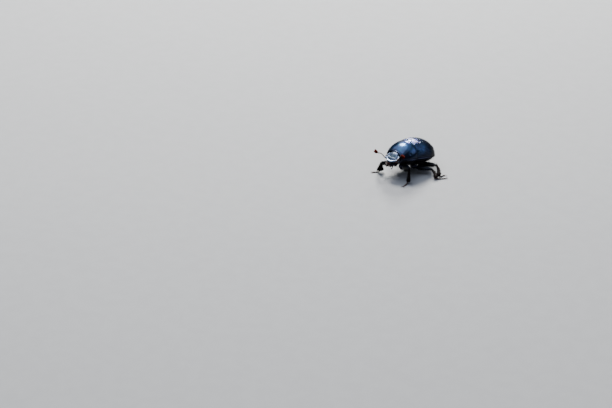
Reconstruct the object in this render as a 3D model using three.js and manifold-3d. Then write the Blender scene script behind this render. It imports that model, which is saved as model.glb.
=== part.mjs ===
// Forest dor beetle (Anoplotrupes stercorosus), an earth-boring dung beetle, life size, in mid step.
// Millimetres, +Z up, head towards -Y, the beetle's left side towards +X, floor at z = 0.
// The trunk is drawn level and then pitched nose up, and the legs run from the hips to the floor.
import * as THREE from "three";
import { mergeVertices } from "three/addons/utils/BufferGeometryUtils.js";
import Module from "manifold-3d";

const wasm = await Module();
wasm.setup();

// ---------------------------------------------------------------- driving dimensions

const GAP = 0.06; // between pieces that meet
const WELD = 1e-5; // corners closer than this are one
const FAR = 60; // side of the blocks that cut a piece with a plane

// Trunk, drawn level: y along it, z from the floor.
const PITCH = THREE.MathUtils.degToRad(5); // nose up
const PIVOT = new THREE.Vector3(0, 1, 4);
const EDGE_Z = 4.75; // side edge of the plates at the waist
const EDGE_FALL = 0.11; // that edge falls this much for each mm towards the tail
const PLATE_LIP = 0.25; // depth of the rolled edge under a plate

const PRONOTUM_FRONT = -4.9;
const PRONOTUM_BACK = 0;
const PRONOTUM_HALF = 4.48; // half width at its widest
const PRONOTUM_WIDEST = 0.78; // share of its length
const PRONOTUM_TAPER = 0.595; // share of the squared width that the front loses
const PRONOTUM_TOP = 9.1; // crest at the back
const PRONOTUM_DIP = 2.05; // the crest falls this much to the front
const PRONOTUM_CORNER = 0.4; // the front corners reach this far past the middle

const WINGS_FRONT = 0.07;
const WINGS_BACK = 9.3;
const WINGS_HALF = 4.78;
const WINGS_WIDEST = 0.45; // share of their length
const WINGS_RISE = 4.6; // crest over the side edge
const WINGS_HIGHEST = 0.25; // share of their length
const WINGS_FRONT_SAG = 0.25; // the crest's front edge lies this much lower
const SHOULDER = 0.5; // half width that the shoulders lack
const SCUTELLUM_HALF = 0.85;
const SCUTELLUM_LENGTH = 1.25;
const SCUTELLUM_FLOOR = 8; // its underside

const BELLY_Z = 2.0; // lowest line of the trunk
const BELLY_INSET = 0.45; // belly pieces stand in from the plates' edge
const BELLY_DROP = 0.1; // the belly's upper border lies this much under the lip
const WAIST_PINCH = [0.7, 0.8]; // the two chest pieces narrow by this much where they meet
const THROAT = new THREE.Vector2(-4.6, 3.7); // y and lowest z of the prothorax at the neck
const WAIST = [-0.04, 0.03]; // y of the prothorax's back and of the hind chest's front
const CHEST_BACK = 3.4;
const TAIL = new THREE.Vector2(8.8, 3.5); // y and lowest z of the abdomen's end

// Superellipse powers of the cross-sections: 2 is round, more is squarer.
const ROUNDNESS = { pronotum: 2.15, prothorax: 1.8, belly: 2.1, wings: 2.2, head: 2.6 };
const CROWDING = { wings: 1.6, abdomen: 1.4 }; // how far the rings crowd together at the tail

// Head, in its own frame: origin at the neck, -Y towards the mouth, +Z out of the forehead.
const NECK = new THREE.Vector3(0, -4.8, 5.5);
const HEAD_DROOP = THREE.MathUtils.degToRad(23);
const HEAD_BACK = 0.6;
const HEAD_LENGTH = 2.65; // neck to clypeus edge
const HEAD_NECK_HALF = 1.85;
const HEAD_HALF = 2.3; // half width in front of the eyes
const HEAD_RISE = [1.2, 0.28]; // over its middle line, at the neck and at the clypeus edge
const HEAD_DROP = [1.15, 0.25];
const CHEEKS = [0.32, 0.78]; // from and to this share of its length
const CLYPEUS_HALF = 1.5;
const CLYPEUS_FROM = 0.5; // share of its length
const EYE = new THREE.Vector3(2.05, -1.05, 0.12);
const EYE_RADII = new THREE.Vector3(0.5, 0.62, 0.6);
const JAW_ROOT_Y = -1.85;
const JAW_ROOT_X = [0.55, 1.35];
const JAW_BULGE = 0.3; // the jaw's outer curve swells this far past its root
const JAW_TIP = new THREE.Vector2(0.14, -3.75);
const JAW_LEVEL = [-1.0, 0.55]; // lower face and thickness
const LIP_HALF = 0.95;
const LIP_Y = [-2.2, -3.1];
const LIP_LEVEL = [-0.38, 0.34];
const PLATE_EDGE = 0.05; // bevel of jaws and lip

// Each antenna is a bent stalk that ends in a club of three leaves, each palp a short jointed feeler.
// The routes are in the head's frame, an antenna's last two points being its club's foot and tip.
const ANTENNAE = {
  left: [
    [1.7, -1.8, -0.25],
    [2.35, -1.75, 0.4],
    [2.95, -1.35, 1.4],
    [3.85, -0.75, 2.6],
    [4.78, -0.85, 1.85],
  ],
  right: [
    [-1.7, -1.8, -0.25],
    [-2.9, -1.65, 0.1],
    [-3.8, -1.75, 0.94],
    [-4.5, -2.3, 1.3],
    [-5.33, -2.45, 1.9],
  ],
};
const STALK_RADIUS = 0.25;
const CLUB_LEAVES = 3;
const LEAF_RADII = [0.38, 0.64, 0.17]; // broad, long and thin
const LEAF_FAN = 0.16; // turn between leaves
const PALP = [
  [0.75, -2.3, -1.3],
  [1.0, -2.9, -1.6],
  [0.95, -3.4, -1.75],
];
const PALP_RADIUS = 0.22;

// Legs. Each hip is in the level trunk; knee, ankle and toe are points over the floor.
const LEGS = {
  fore_left: {
    hip: [1.5, -3.3, 2.5],
    knee: [5.4, -4.55, 4.0],
    ankle: [6.2, -5.96, 0.6],
    toe: [6.87, -8.96],
  },
  fore_right: {
    hip: [-1.5, -3.3, 2.5],
    knee: [-3.2, -7.0, 3.8],
    ankle: [-4.4, -6.04, 0.6],
    toe: [-6.23, -8.43],
  },
  mid_left: {
    hip: [2.1, 0.65, 1.7],
    knee: [6.72, 3.1, 1.6],
    ankle: [10.12, 1.31, 0.6],
    toe: [12.09, 4.25],
  },
  mid_right: {
    hip: [-2.1, 0.65, 2.15],
    knee: [-6.6, 1.2, 3.6],
    ankle: [-8.2, 2.9, 0.6],
    toe: [-9.3, 5.6],
  },
  hind_left: {
    hip: [2.2, 3.3, 2.0],
    knee: [6.75, 5.1, 2.15],
    ankle: [9.82, 2.78, 0.6],
    toe: [10.3, 5.5],
  },
  hind_right: {
    hip: [-2.2, 3.3, 2.3],
    knee: [-6.2, 5.6, 3.4],
    ankle: [-7.8, 8.9, 0.6],
    toe: [-8.9, 11.8],
  },
};
// Sizes that differ between the pairs: the coxa's radii, the broad radius of femur and tibia, the
// tibia's thin radius over its broad one, and how far the tibia bows outwards.
const PAIRS = {
  fore: { coxa: [1.0, 0.95, 1.1], femur: 0.9, tibia: 0.72, flatness: 0.55, bow: 0.1, teeth: 6, spurs: 1 },
  mid: { coxa: [1.1, 0.75, 0.85], femur: 0.78, tibia: 0.5, flatness: 0.75, bow: 0.3, teeth: 0, spurs: 2 },
  hind: { coxa: [1.5, 0.65, 0.8], femur: 0.74, tibia: 0.54, flatness: 0.75, bow: 0.3, teeth: 0, spurs: 2 },
};
const COXA_RISE = 0.2; // a coxa's middle stands this far over the hip, up in the body
const TROCHANTER = 0.14; // share of the way from hip to knee at which the femur starts
// Outlines of the limb pieces: share of the length, and share of the broad radius.
const FEMUR_RINGS = [[0, 0.6], [0.1, 0.88], [0.35, 1], [0.7, 0.84], [0.92, 0.56], [1.04, 0.4]];
const TIBIA_RINGS = [[-0.06, 0.35], [0, 0.56], [0.12, 0.6], [0.35, 0.7], [0.6, 0.82], [0.94, 1], [1, 0.8]];
const BEAD_RINGS = [[-0.04, 0.75], [1.04, 1]];
const FLATNESS = { femur: 0.6, bead: 1 }; // thin radius over broad radius
const TOOTH_LENGTH = [0.3, 0.62]; // shortest near the knee, longest at the ankle
const TOOTH_SHARE = [0.3, 0.97]; // of the shin's length
const SPUR_RADIUS = 0.17;
const SPUR_LENGTH = 0.95;
const SPUR_SPACING = 0.36;
const LEG_SIDES = 8;

// The tarsus is a string of five joints, flat on the floor.
const TARSUS_JOINTS = 5;
const TARSUS_RADIUS = 0.27;
const TARSUS_SIDES = 6;
const SOLE_Z = 0.17; // height of the tarsus's own line over the floor
const CLAW_LENGTH = 0.8;
const CLAW_RADIUS = 0.2;
const CLAW_SIDES = 5;
const CLAW_SPREAD = 0.42; // each claw tip stands this far off the line of the foot

// ---------------------------------------------------------------- materials

const shell = (name, color, roughness, metalness) =>
  new THREE.MeshStandardMaterial({ name, color, roughness, metalness });
const BLUE_BLACK = shell("blue-black shell", 0x11151f, 0.22, 0.5);
const BELLY_BLUE = shell("violet-blue underside", 0x171a33, 0.3, 0.55);
const LEG_BLACK = shell("black leg shell", 0x0d0e13, 0.3, 0.35);
const FOOT_BROWN = shell("brown-black tarsus", 0x1c1210, 0.4, 0.1);
const EYE_BLACK = shell("facetted eye", 0x0a0a0c, 0.15, 0);
const FEELER_BROWN = shell("dark brown feeler", 0x3a1c10, 0.4, 0);
const CLUB_ORANGE = shell("felted orange club", 0xb8501c, 0.8, 0);

// ---------------------------------------------------------------- solids

// A closed geometry as a solid that can be joined and cut.
function solidOf(geometry) {
  const bare = geometry.clone();
  bare.deleteAttribute("normal");
  bare.deleteAttribute("uv");
  const welded = mergeVertices(bare, WELD);
  const corners = new Uint32Array(welded.index.array);
  const made = new wasm.Mesh({
    numProp: 3,
    vertProperties: welded.attributes.position.array,
    triVerts: corners,
  });
  return new wasm.Manifold(made);
}

const joined = (pieces) => pieces.reduce((sum, piece) => sum.add(piece));

// A solid less its cutters; a crumb that the cuts leave loose is dropped.
function cutBy(solid, cutters) {
  const bodies = cutters.reduce((left, cutter) => left.subtract(cutter), solid).decompose();
  return bodies.reduce((main, body) => (body.volume() > main.volume() ? body : main));
}

// Everything on one side of a plane square to an axis, as a cutter.
function block(axis, from, side) {
  const centre = new THREE.Vector3().setComponent(axis, from + (side * FAR) / 2);
  return solidOf(new THREE.BoxGeometry(FAR, FAR, FAR).translate(centre.x, centre.y, centre.z));
}

// A named mesh with its origin at a given point of the model.
function meshOf(name, solid, material, origin) {
  const { vertProperties, triVerts } = solid.getMesh();
  const geometry = new THREE.BufferGeometry();
  geometry.setAttribute("position", new THREE.BufferAttribute(vertProperties, 3));
  geometry.setIndex(new THREE.BufferAttribute(triVerts, 1));
  geometry.translate(-origin.x, -origin.y, -origin.z);
  geometry.computeVertexNormals();
  const mesh = new THREE.Mesh(geometry, material);
  mesh.name = name;
  mesh.position.copy(origin);
  return mesh;
}

const powered = (value, power) => Math.sign(value) * Math.abs(value) ** power;
const mix = THREE.MathUtils.lerp;

const crowded = (share, power) => 1 - (1 - share) ** power;

// A superellipse's height at a share of its reach, 1 in the middle and 0 at the end.
const bow = (share, across, up) => Math.max(0, 1 - Math.abs(share) ** across) ** (1 / up);

// A closed piece drawn along the trunk. ring(s) gives its y, z, half width, rise, drop and power at
// the share s of its length; warp moves a ring's point along y.
function drawn(sides, rings, ring, warp = () => 0) {
  const geometry = new THREE.CylinderGeometry(1, 1, 1, sides, rings);
  const at = geometry.attributes.position;
  for (let i = 0; i < at.count; i++) {
    const s = at.getY(i) + 0.5;
    const inward = Math.min(1, Math.hypot(at.getX(i), at.getZ(i)));
    const angle = Math.atan2(at.getZ(i), at.getX(i));
    const { y, z, half, rise, drop, power } = ring(s);
    const x = half * inward * powered(Math.cos(angle), 2 / power);
    const up = powered(Math.sin(angle), 2 / power) * inward;
    at.setXYZ(i, x, y + warp(x, s), z + up * (up > 0 ? rise : drop));
  }
  return geometry;
}

const STANCE = new THREE.Matrix4()
  .makeTranslation(PIVOT)
  .multiply(new THREE.Matrix4().makeRotationX(-PITCH))
  .multiply(new THREE.Matrix4().makeTranslation(PIVOT.clone().negate()));
const stanceOf = (point) => point.clone().applyMatrix4(STANCE);
const HEAD_FRAME = STANCE.clone()
  .multiply(new THREE.Matrix4().makeTranslation(NECK))
  .multiply(new THREE.Matrix4().makeRotationX(HEAD_DROOP));

// ---------------------------------------------------------------- trunk

const edgeZ = (y) => EDGE_Z - EDGE_FALL * y;

function pronotumRing(s, grow = 0) {
  const half = PRONOTUM_HALF * Math.sqrt(1 - PRONOTUM_TAPER * (1 - s / PRONOTUM_WIDEST) ** 2);
  const y = mix(PRONOTUM_FRONT - grow, PRONOTUM_BACK + grow, s);
  const top = PRONOTUM_TOP - PRONOTUM_DIP * (1 - s) ** 2.2;
  const z = edgeZ(y);
  const rise = top - z + grow;
  const drop = PLATE_LIP + grow;
  return { y, z, half: half + grow, rise, drop, power: ROUNDNESS.pronotum };
}

// The front corners stand forward of the middle.
function cornersForward(x, s) {
  const frontHalf = pronotumRing(0).half;
  return -PRONOTUM_CORNER * (1 - s) ** 2 * (x / frontHalf) ** 2;
}

function wingsRing(s) {
  const along = crowded(s, CROWDING.wings);
  const y = mix(WINGS_FRONT, WINGS_BACK, along);
  const wide = (along - WINGS_WIDEST) / (along > WINGS_WIDEST ? 1 - WINGS_WIDEST : WINGS_WIDEST);
  const high = Math.max(0, (along - WINGS_HIGHEST) / (1 - WINGS_HIGHEST));
  const sag = WINGS_FRONT_SAG * Math.max(0, 1 - along / WINGS_HIGHEST) ** 2;
  const half =
    along > WINGS_WIDEST
      ? WINGS_HALF * bow(wide, 2.4, 2)
      : WINGS_HALF - SHOULDER * Math.abs(wide) ** 2.2;
  const rise = WINGS_RISE * bow(high, 2.5, 1.9) - sag;
  const drop = (PLATE_LIP + BELLY_DROP) * bow(wide, 4, 2);
  return { y, z: edgeZ(y), half, rise, drop, power: ROUNDNESS.wings };
}

function prothoraxRing(s) {
  const above = pronotumRing(s);
  const y = mix(THROAT.x, WAIST[0], s);
  const z = edgeZ(y) - PLATE_LIP - GAP;
  const low = mix(THROAT.y, BELLY_Z + 0.15, bow(1 - s, 2, 1));
  const pinch = WAIST_PINCH[0] * s ** 6;
  const half = above.half - BELLY_INSET - pinch;
  return { y, z, half, rise: 0, drop: z - low - pinch, power: ROUNDNESS.prothorax };
}

// The wing cases' half width at a place along the trunk.
function wingsHalfAt(y) {
  const along = Math.max(0, (y - WINGS_FRONT) / (WINGS_BACK - WINGS_FRONT));
  return wingsRing(crowded(along, 1 / CROWDING.wings)).half;
}

function chestRing(s) {
  const y = mix(WAIST[1], CHEST_BACK, s);
  const z = edgeZ(y) - PLATE_LIP - BELLY_DROP - GAP;
  const pinch = WAIST_PINCH[1] * (1 - s) ** 5;
  const half = wingsHalfAt(y) - BELLY_INSET - pinch;
  return { y, z, half, rise: 0, drop: z - BELLY_Z - pinch, power: ROUNDNESS.belly };
}

function abdomenRing(s) {
  const along = crowded(s, CROWDING.abdomen);
  const y = mix(CHEST_BACK + GAP, TAIL.x, along);
  const z = edgeZ(y) - PLATE_LIP - BELLY_DROP - GAP;
  const low = mix(BELLY_Z + BELLY_DROP, TAIL.y, along ** 2);
  const half = wingsHalfAt(y) - BELLY_INSET;
  return { y, z, half, rise: 0, drop: z - low, power: ROUNDNESS.belly };
}

const trunkPiece = (...shape) => drawn(...shape).applyMatrix4(STANCE);
const pronotumPiece = (grow) =>
  solidOf(trunkPiece(28, 8, (s) => pronotumRing(s, grow), cornersForward));
const pronotum = pronotumPiece(0);
const prothorax = solidOf(trunkPiece(16, 5, prothoraxRing));
const chest = solidOf(trunkPiece(16, 3, chestRing));
const abdomen = solidOf(trunkPiece(18, 6, abdomenRing));
const wings = solidOf(trunkPiece(32, 12, wingsRing));

// The scutellum is a small shield let into the wing cases' front. This is the prism that parts it.
function shield(grow) {
  const half = SCUTELLUM_HALF + grow;
  const shoulder = WINGS_FRONT + 0.1;
  const bulge = [SCUTELLUM_HALF * 0.8, WINGS_FRONT + SCUTELLUM_LENGTH * 0.6];
  const tip = WINGS_FRONT + SCUTELLUM_LENGTH + grow;
  const outline = new THREE.Shape();
  outline.moveTo(-half, -1);
  outline.lineTo(half, -1);
  outline.lineTo(half, shoulder);
  outline.quadraticCurveTo(bulge[0], bulge[1], 0, tip);
  outline.quadraticCurveTo(-bulge[0], bulge[1], -half, shoulder);
  const flat = { depth: 4, bevelEnabled: false, curveSegments: 4 };
  const prism = new THREE.ExtrudeGeometry(outline, flat);
  return solidOf(prism.translate(0, 0, SCUTELLUM_FLOOR - grow).applyMatrix4(STANCE));
}

const scutellum = wings.intersect(shield(0));
const openWings = wings.subtract(shield(GAP));

// ---------------------------------------------------------------- head

const inHead = (geometry) => geometry.applyMatrix4(HEAD_FRAME);
const headPoint = (x, y, z) => new THREE.Vector3(x, y, z).applyMatrix4(HEAD_FRAME);

function headRing(s, grow = 0) {
  const y = mix(-HEAD_LENGTH, HEAD_BACK + grow, s);
  const forward = Math.max(0, -y) / HEAD_LENGTH; // 0 at the neck, 1 at the clypeus edge
  const back = mix(HEAD_NECK_HALF, HEAD_HALF, Math.min(1, forward / CHEEKS[0]));
  const cheeks = HEAD_HALF * bow((forward - CHEEKS[0]) / (CHEEKS[1] - CHEEKS[0]), 3, 2);
  const snout = CLYPEUS_HALF * bow((forward - CLYPEUS_FROM) / (1.01 - CLYPEUS_FROM), 3, 1.8);
  const half = (forward < CHEEKS[0] ? back : Math.max(cheeks, snout)) + grow;
  const rise = mix(...HEAD_RISE, forward ** 1.3) + grow;
  const drop = mix(...HEAD_DROP, forward ** 2.2) + grow;
  return { y, z: 0.05, half, rise, drop, power: ROUNDNESS.head };
}

function eyeBall(side, grow) {
  const radii = EYE_RADII.clone().addScalar(grow);
  const ball = new THREE.SphereGeometry(1, 10, 6).scale(...radii);
  return solidOf(inHead(ball.translate(side * EYE.x, EYE.y, EYE.z)));
}

// A flat piece drawn as an outline in the head's own plane, from its lower face and thickness.
function headPlate(outline, [low, thickness]) {
  const plate = new THREE.ExtrudeGeometry(outline, {
    depth: thickness - 2 * PLATE_EDGE,
    bevelThickness: PLATE_EDGE,
    bevelSize: PLATE_EDGE,
    bevelOffset: -PLATE_EDGE,
    bevelSegments: 1,
    curveSegments: 3,
  });
  return solidOf(inHead(plate.translate(0, 0, low + PLATE_EDGE)));
}

// A broad jaw that curves in to a point in front of the lip.
function mandible(side) {
  const [inner, outer] = JAW_ROOT_X.map((x) => side * x);
  const bulge = outer + side * JAW_BULGE;
  const outline = new THREE.Shape();
  outline.moveTo(inner, JAW_ROOT_Y);
  outline.lineTo(outer, JAW_ROOT_Y);
  outline.bezierCurveTo(bulge, JAW_ROOT_Y - 0.8, bulge, JAW_TIP.y + 0.25, side * JAW_TIP.x, JAW_TIP.y);
  outline.quadraticCurveTo(inner, JAW_TIP.y + 0.25, inner, JAW_TIP.y + 0.8);
  return headPlate(outline, JAW_LEVEL);
}

// The labrum, with a shallow notch in its front edge.
function labrum() {
  const [back, front] = LIP_Y;
  const outline = new THREE.Shape();
  outline.moveTo(-LIP_HALF, back);
  outline.lineTo(LIP_HALF, back);
  outline.quadraticCurveTo(LIP_HALF + 0.1, front + 0.05, LIP_HALF - 0.35, front);
  outline.quadraticCurveTo(0, front + 0.2, 0.35 - LIP_HALF, front);
  outline.quadraticCurveTo(-LIP_HALF - 0.1, front + 0.05, -LIP_HALF, back);
  return headPlate(outline, LIP_LEVEL);
}

// A round rod along a smooth route, closed at both ends.
function rod(route, radius, sides, steps) {
  const section = new THREE.Shape();
  section.absarc(0, 0, radius, 0, 2 * Math.PI);
  const path = new THREE.CatmullRomCurve3(route);
  const sweep = { steps, extrudePath: path, bevelEnabled: false, curveSegments: sides / 2 };
  return solidOf(new THREE.ExtrudeGeometry(section, sweep));
}

const headRoute = (points, side = 1) => points.map(([x, y, z]) => headPoint(side * x, y, z));

function antennaClub(side, grow = 0) {
  const [foot, tip] = headRoute(ANTENNAE[side]).slice(-2);
  const outward = new THREE.Vector3(0, -1, 0);
  const radii = LEAF_RADII.map((radius) => radius + grow);
  const leaves = [];
  for (let i = 0; i < CLUB_LEAVES; i++) {
    const turn = (i - (CLUB_LEAVES - 1) / 2) * LEAF_FAN;
    const leaf = new THREE.SphereGeometry(1, 8, 4).scale(...radii);
    leaf.translate(0, LEAF_RADII[1], turn * LEAF_RADII[2] * 4).rotateX(turn);
    leaves.push(solidOf(along(leaf, foot, tip, outward)));
  }
  return joined(leaves);
}

const headPiece = (grow) => solidOf(inHead(drawn(18, 7, (s) => headRing(s, grow))));
const headCutters = [pronotumPiece(GAP), eyeBall(1, GAP), eyeBall(-1, GAP)];
const head = cutBy(headPiece(0), headCutters);

// ---------------------------------------------------------------- legs

// A limb piece turned about its own length from rings of share and radius, then flattened.
function turned(length, rings, flatness, sides, grow = 0) {
  const profile = rings.map(([share, radius]) => new THREE.Vector2(radius + grow, share * length));
  const start = new THREE.Vector2(0, rings[0][0] * length - grow);
  const end = new THREE.Vector2(0, rings.at(-1)[0] * length + grow);
  return new THREE.LatheGeometry([start, ...profile, end], sides).scale(1, 1, flatness);
}

// Bows a limb piece outwards between its ends.
function bent(geometry, length, depth) {
  const at = geometry.attributes.position;
  for (let i = 0; i < at.count; i++) {
    const share = THREE.MathUtils.clamp(at.getY(i) / length, 0, 1);
    at.setX(i, at.getX(i) + depth * Math.sin(Math.PI * share));
  }
  return geometry;
}

// Stands a piece on its start, along the line to its end, with its broad side towards outward.
function along(geometry, start, end, outward) {
  const axis = end.clone().sub(start).normalize();
  const thin = new THREE.Vector3().crossVectors(outward, axis).normalize();
  const broad = new THREE.Vector3().crossVectors(axis, thin);
  const frame = new THREE.Matrix4().makeBasis(broad, axis, thin).setPosition(start);
  return geometry.applyMatrix4(frame);
}

const vector = ([x, y, z]) => new THREE.Vector3(x, y, z);
const scaled = (rings, radius) => rings.map(([share, part]) => [share, part * radius]);
const BELOW_FLOOR = block(2, 0, -1);

// A small spike, its foot at a point in the limb's own frame, leaning towards the limb's end.
function spike(radius, length, foot, lean, sides = 4) {
  const cone = new THREE.ConeGeometry(radius, length, sides).translate(0, length / 2, 0);
  return cone.rotateZ(lean).translate(foot.x, foot.y, foot.z);
}

// Teeth along the outer edge of a digging shin, and spurs at the end of every shin.
function shinSpikes(pair, length) {
  const spikes = [];
  for (let i = 0; i < pair.teeth; i++) {
    const step = i / (pair.teeth - 1);
    const share = mix(...TOOTH_SHARE, step);
    const size = mix(...TOOTH_LENGTH, step);
    const foot = new THREE.Vector3(pair.tibia * mix(0.45, 0.72, share), share * length - 0.15, 0);
    spikes.push(spike(size * 0.42, size + 0.25, foot, -Math.PI / 2.6));
  }
  for (let i = 0; i < pair.spurs; i++) {
    const across = (i - (pair.spurs - 1) / 2) * SPUR_SPACING;
    const foot = new THREE.Vector3(-pair.tibia * 0.55, 0.93 * length, across);
    spikes.push(spike(SPUR_RADIUS, SPUR_LENGTH, foot, 0.25));
  }
  return spikes;
}

// Five joints from the shin's end down to the floor and along it, and a pair of claws.
function footOf(ankle, toe, clawTip) {
  const route = new THREE.CatmullRomCurve3([
    ankle,
    ankle.clone().lerp(toe, 0.3).setZ(SOLE_Z + 0.06),
    ankle.clone().lerp(toe, 0.6).setZ(SOLE_Z),
    toe,
  ]);
  const up = new THREE.Vector3(0, 0, 1);
  const pieces = [];
  for (let i = 0; i < TARSUS_JOINTS; i++) {
    const from = route.getPoint(i / TARSUS_JOINTS);
    const to = route.getPoint((i + 1) / TARSUS_JOINTS);
    const rings = scaled(BEAD_RINGS, TARSUS_RADIUS);
    const bead = turned(from.distanceTo(to), rings, FLATNESS.bead, TARSUS_SIDES);
    pieces.push(solidOf(along(bead, from, to, up)));
  }
  const heading = clawTip.clone().sub(toe).normalize();
  const sideways = new THREE.Vector3().crossVectors(heading, up);
  for (const side of [1, -1]) {
    const tip = clawTip.clone().addScaledVector(sideways, side * CLAW_SPREAD).setZ(CLAW_RADIUS / 2);
    const length = toe.distanceTo(tip);
    const hook = new THREE.ConeGeometry(CLAW_RADIUS, length, CLAW_SIDES).translate(0, length / 2, 0);
    pieces.push(solidOf(along(hook, toe, tip, up)));
  }
  return joined(pieces);
}

function legPieces(name) {
  const pair = PAIRS[name.split("_")[0]];
  const hip = stanceOf(vector(LEGS[name].hip));
  const knee = vector(LEGS[name].knee);
  const ankle = vector(LEGS[name].ankle);
  const clawTip = new THREE.Vector3(...LEGS[name].toe, SOLE_Z);
  const toe = clawTip.clone().sub(ankle).setZ(0).setLength(-CLAW_LENGTH).add(clawTip);
  const outward = knee.clone().sub(hip.clone().add(ankle).multiplyScalar(0.5));

  const coxaBall = (grow) => {
    const radii = pair.coxa.map((radius) => radius + grow);
    const ball = new THREE.SphereGeometry(1, 10, 6).scale(...radii).translate(0, 0, COXA_RISE);
    return solidOf(ball.applyMatrix4(STANCE.clone().setPosition(hip)));
  };
  const trochanter = hip.clone().lerp(knee, TROCHANTER);
  const thigh = (grow) => {
    const rings = scaled(FEMUR_RINGS, pair.femur);
    const length = trochanter.distanceTo(knee);
    const body = turned(length, rings, FLATNESS.femur, LEG_SIDES, grow);
    return solidOf(along(body, trochanter, knee, outward));
  };
  const shinLength = knee.distanceTo(ankle);
  const onShin = (one) => solidOf(along(bent(one, shinLength, pair.bow), knee, ankle, outward));
  const spikes = shinSpikes(pair, shinLength).map(onShin);
  const shin = (grow) => {
    const rings = scaled(TIBIA_RINGS, pair.tibia);
    return joined([onShin(turned(shinLength, rings, pair.flatness, LEG_SIDES, grow)), ...spikes]);
  };

  return {
    coxa: [coxaBall(0), hip],
    femur: [cutBy(thigh(0), [coxaBall(GAP)]), trochanter],
    tibia: [cutBy(shin(0), [thigh(GAP), BELOW_FLOOR]), knee],
    tarsus: [cutBy(footOf(ankle, toe, clawTip), [shin(GAP), BELOW_FLOOR]), ankle],
    room: joined([coxaBall(GAP), thigh(GAP)]),
  };
}

const legs = Object.fromEntries(Object.keys(LEGS).map((name) => [name, legPieces(name)]));
const legRoom = Object.values(legs).map((leg) => leg.room);

// ---------------------------------------------------------------- assembly

const beetle = new THREE.Group();
const add = (...mesh) => beetle.add(meshOf(...mesh));
const origin = (y, z = EDGE_Z) => stanceOf(new THREE.Vector3(0, y, z));
const headRoom = headPiece(GAP);

add("pronotum", pronotum, BLUE_BLACK, origin(PRONOTUM_BACK));
add("prothorax", cutBy(prothorax, [headRoom, ...legRoom]), BELLY_BLUE, origin(WAIST[0]));
add("metathorax", cutBy(chest, legRoom), BELLY_BLUE, origin(WAIST[1]));
add("abdomen", cutBy(abdomen, legRoom), BELLY_BLUE, origin(CHEST_BACK));
add("scutellum", scutellum, BLUE_BLACK, origin(WINGS_FRONT, SCUTELLUM_FLOOR));
add("head", head, BLUE_BLACK, headPoint(0, 0, 0));
add("labrum", cutBy(labrum(), [headRoom]), BLUE_BLACK, headPoint(0, LIP_Y[0], LIP_LEVEL[0]));

for (const [side, sign] of Object.entries({ left: 1, right: -1 })) {
  const stalk = headRoute(ANTENNAE[side].slice(0, -1));
  const stalkRoom = [headRoom, antennaClub(side, GAP)];
  const palp = headRoute(PALP, sign);
  const wing = openWings.subtract(block(0, (sign * GAP) / 2, -sign));
  add("elytron_" + side, wing, BLUE_BLACK, origin(WINGS_FRONT));
  add("eye_" + side, eyeBall(sign, 0), EYE_BLACK, headPoint(sign * EYE.x, EYE.y, EYE.z));
  add("mandible_" + side, cutBy(mandible(sign), [headRoom]), BLUE_BLACK, headPoint(sign, JAW_ROOT_Y, 0));
  add("antenna_" + side, cutBy(rod(stalk, STALK_RADIUS, 6, 7), stalkRoom), FEELER_BROWN, stalk[0]);
  add("antenna_club_" + side, antennaClub(side), CLUB_ORANGE, stalk.at(-1));
  add("palp_" + side, cutBy(rod(palp, PALP_RADIUS, 6, 4), [headRoom]), FEELER_BROWN, palp[0]);
}

for (const [name, leg] of Object.entries(legs)) {
  add("coxa_" + name, leg.coxa[0], BELLY_BLUE, leg.coxa[1]);
  add("femur_" + name, leg.femur[0], LEG_BLACK, leg.femur[1]);
  add("tibia_" + name, leg.tibia[0], LEG_BLACK, leg.tibia[1]);
  add("tarsus_" + name, leg.tarsus[0], FOOT_BROWN, leg.tarsus[1]);
}

// The origin is on the floor, under the middle of the whole outline.
const bounds = new THREE.Box3().setFromObject(beetle);
const middle = bounds.getCenter(new THREE.Vector3());
beetle.position.set(-middle.x, -middle.y, -bounds.min.z);

export default beetle;
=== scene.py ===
"""Forest dor beetle, an earth-boring dung beetle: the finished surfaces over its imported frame.

Shapes are worked out in millimetres with numpy and placed in metres. The frame is +Z up, with the
head towards -Y and the beetle's left side towards +X. The trunk is drawn level and pitched nose up.
"""

import math

import bpy
import numpy as np
from bpy.props import FloatProperty, FloatVectorProperty, IntProperty, PointerProperty
from bpy.types import Operator, Panel, PropertyGroup
from mathutils import Matrix, Vector


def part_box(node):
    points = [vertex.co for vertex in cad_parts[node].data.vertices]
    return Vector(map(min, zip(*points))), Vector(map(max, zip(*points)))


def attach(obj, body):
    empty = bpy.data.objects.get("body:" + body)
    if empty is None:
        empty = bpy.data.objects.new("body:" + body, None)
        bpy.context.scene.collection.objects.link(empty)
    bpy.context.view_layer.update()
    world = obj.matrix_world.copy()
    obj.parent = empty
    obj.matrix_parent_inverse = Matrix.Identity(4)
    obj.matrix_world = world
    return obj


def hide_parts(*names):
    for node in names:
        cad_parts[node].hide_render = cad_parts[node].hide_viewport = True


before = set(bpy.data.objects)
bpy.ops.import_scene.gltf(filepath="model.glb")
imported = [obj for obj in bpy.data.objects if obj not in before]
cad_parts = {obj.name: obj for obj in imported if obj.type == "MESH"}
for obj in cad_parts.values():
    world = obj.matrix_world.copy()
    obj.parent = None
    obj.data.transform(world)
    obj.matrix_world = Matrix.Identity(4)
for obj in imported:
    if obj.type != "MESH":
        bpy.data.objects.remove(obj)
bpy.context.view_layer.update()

bl_info = {
    "name": "Forest dor beetle",
    "version": (1, 0, 0),
    "blender": (4, 5, 0),
    "location": "View3D > Sidebar > Beetle",
    "description": "Builds a life-size forest dor beetle over its packed frame",
    "category": "Add Mesh",
}

MM = 0.001  # metres in a millimetre
ROOT = "root"
SIDES = {"left": 1, "right": -1}

# ---------------------------------------------------------------- driving dimensions, in millimetres

PITCH = math.radians(5)  # nose up
PIVOT = Vector((0, 1, 4))
EDGE_Z = 4.75  # side edge of the plates at the waist
EDGE_FALL = 0.11  # that edge falls this much for each mm towards the tail
PLATE_LIP = 0.25

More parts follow.
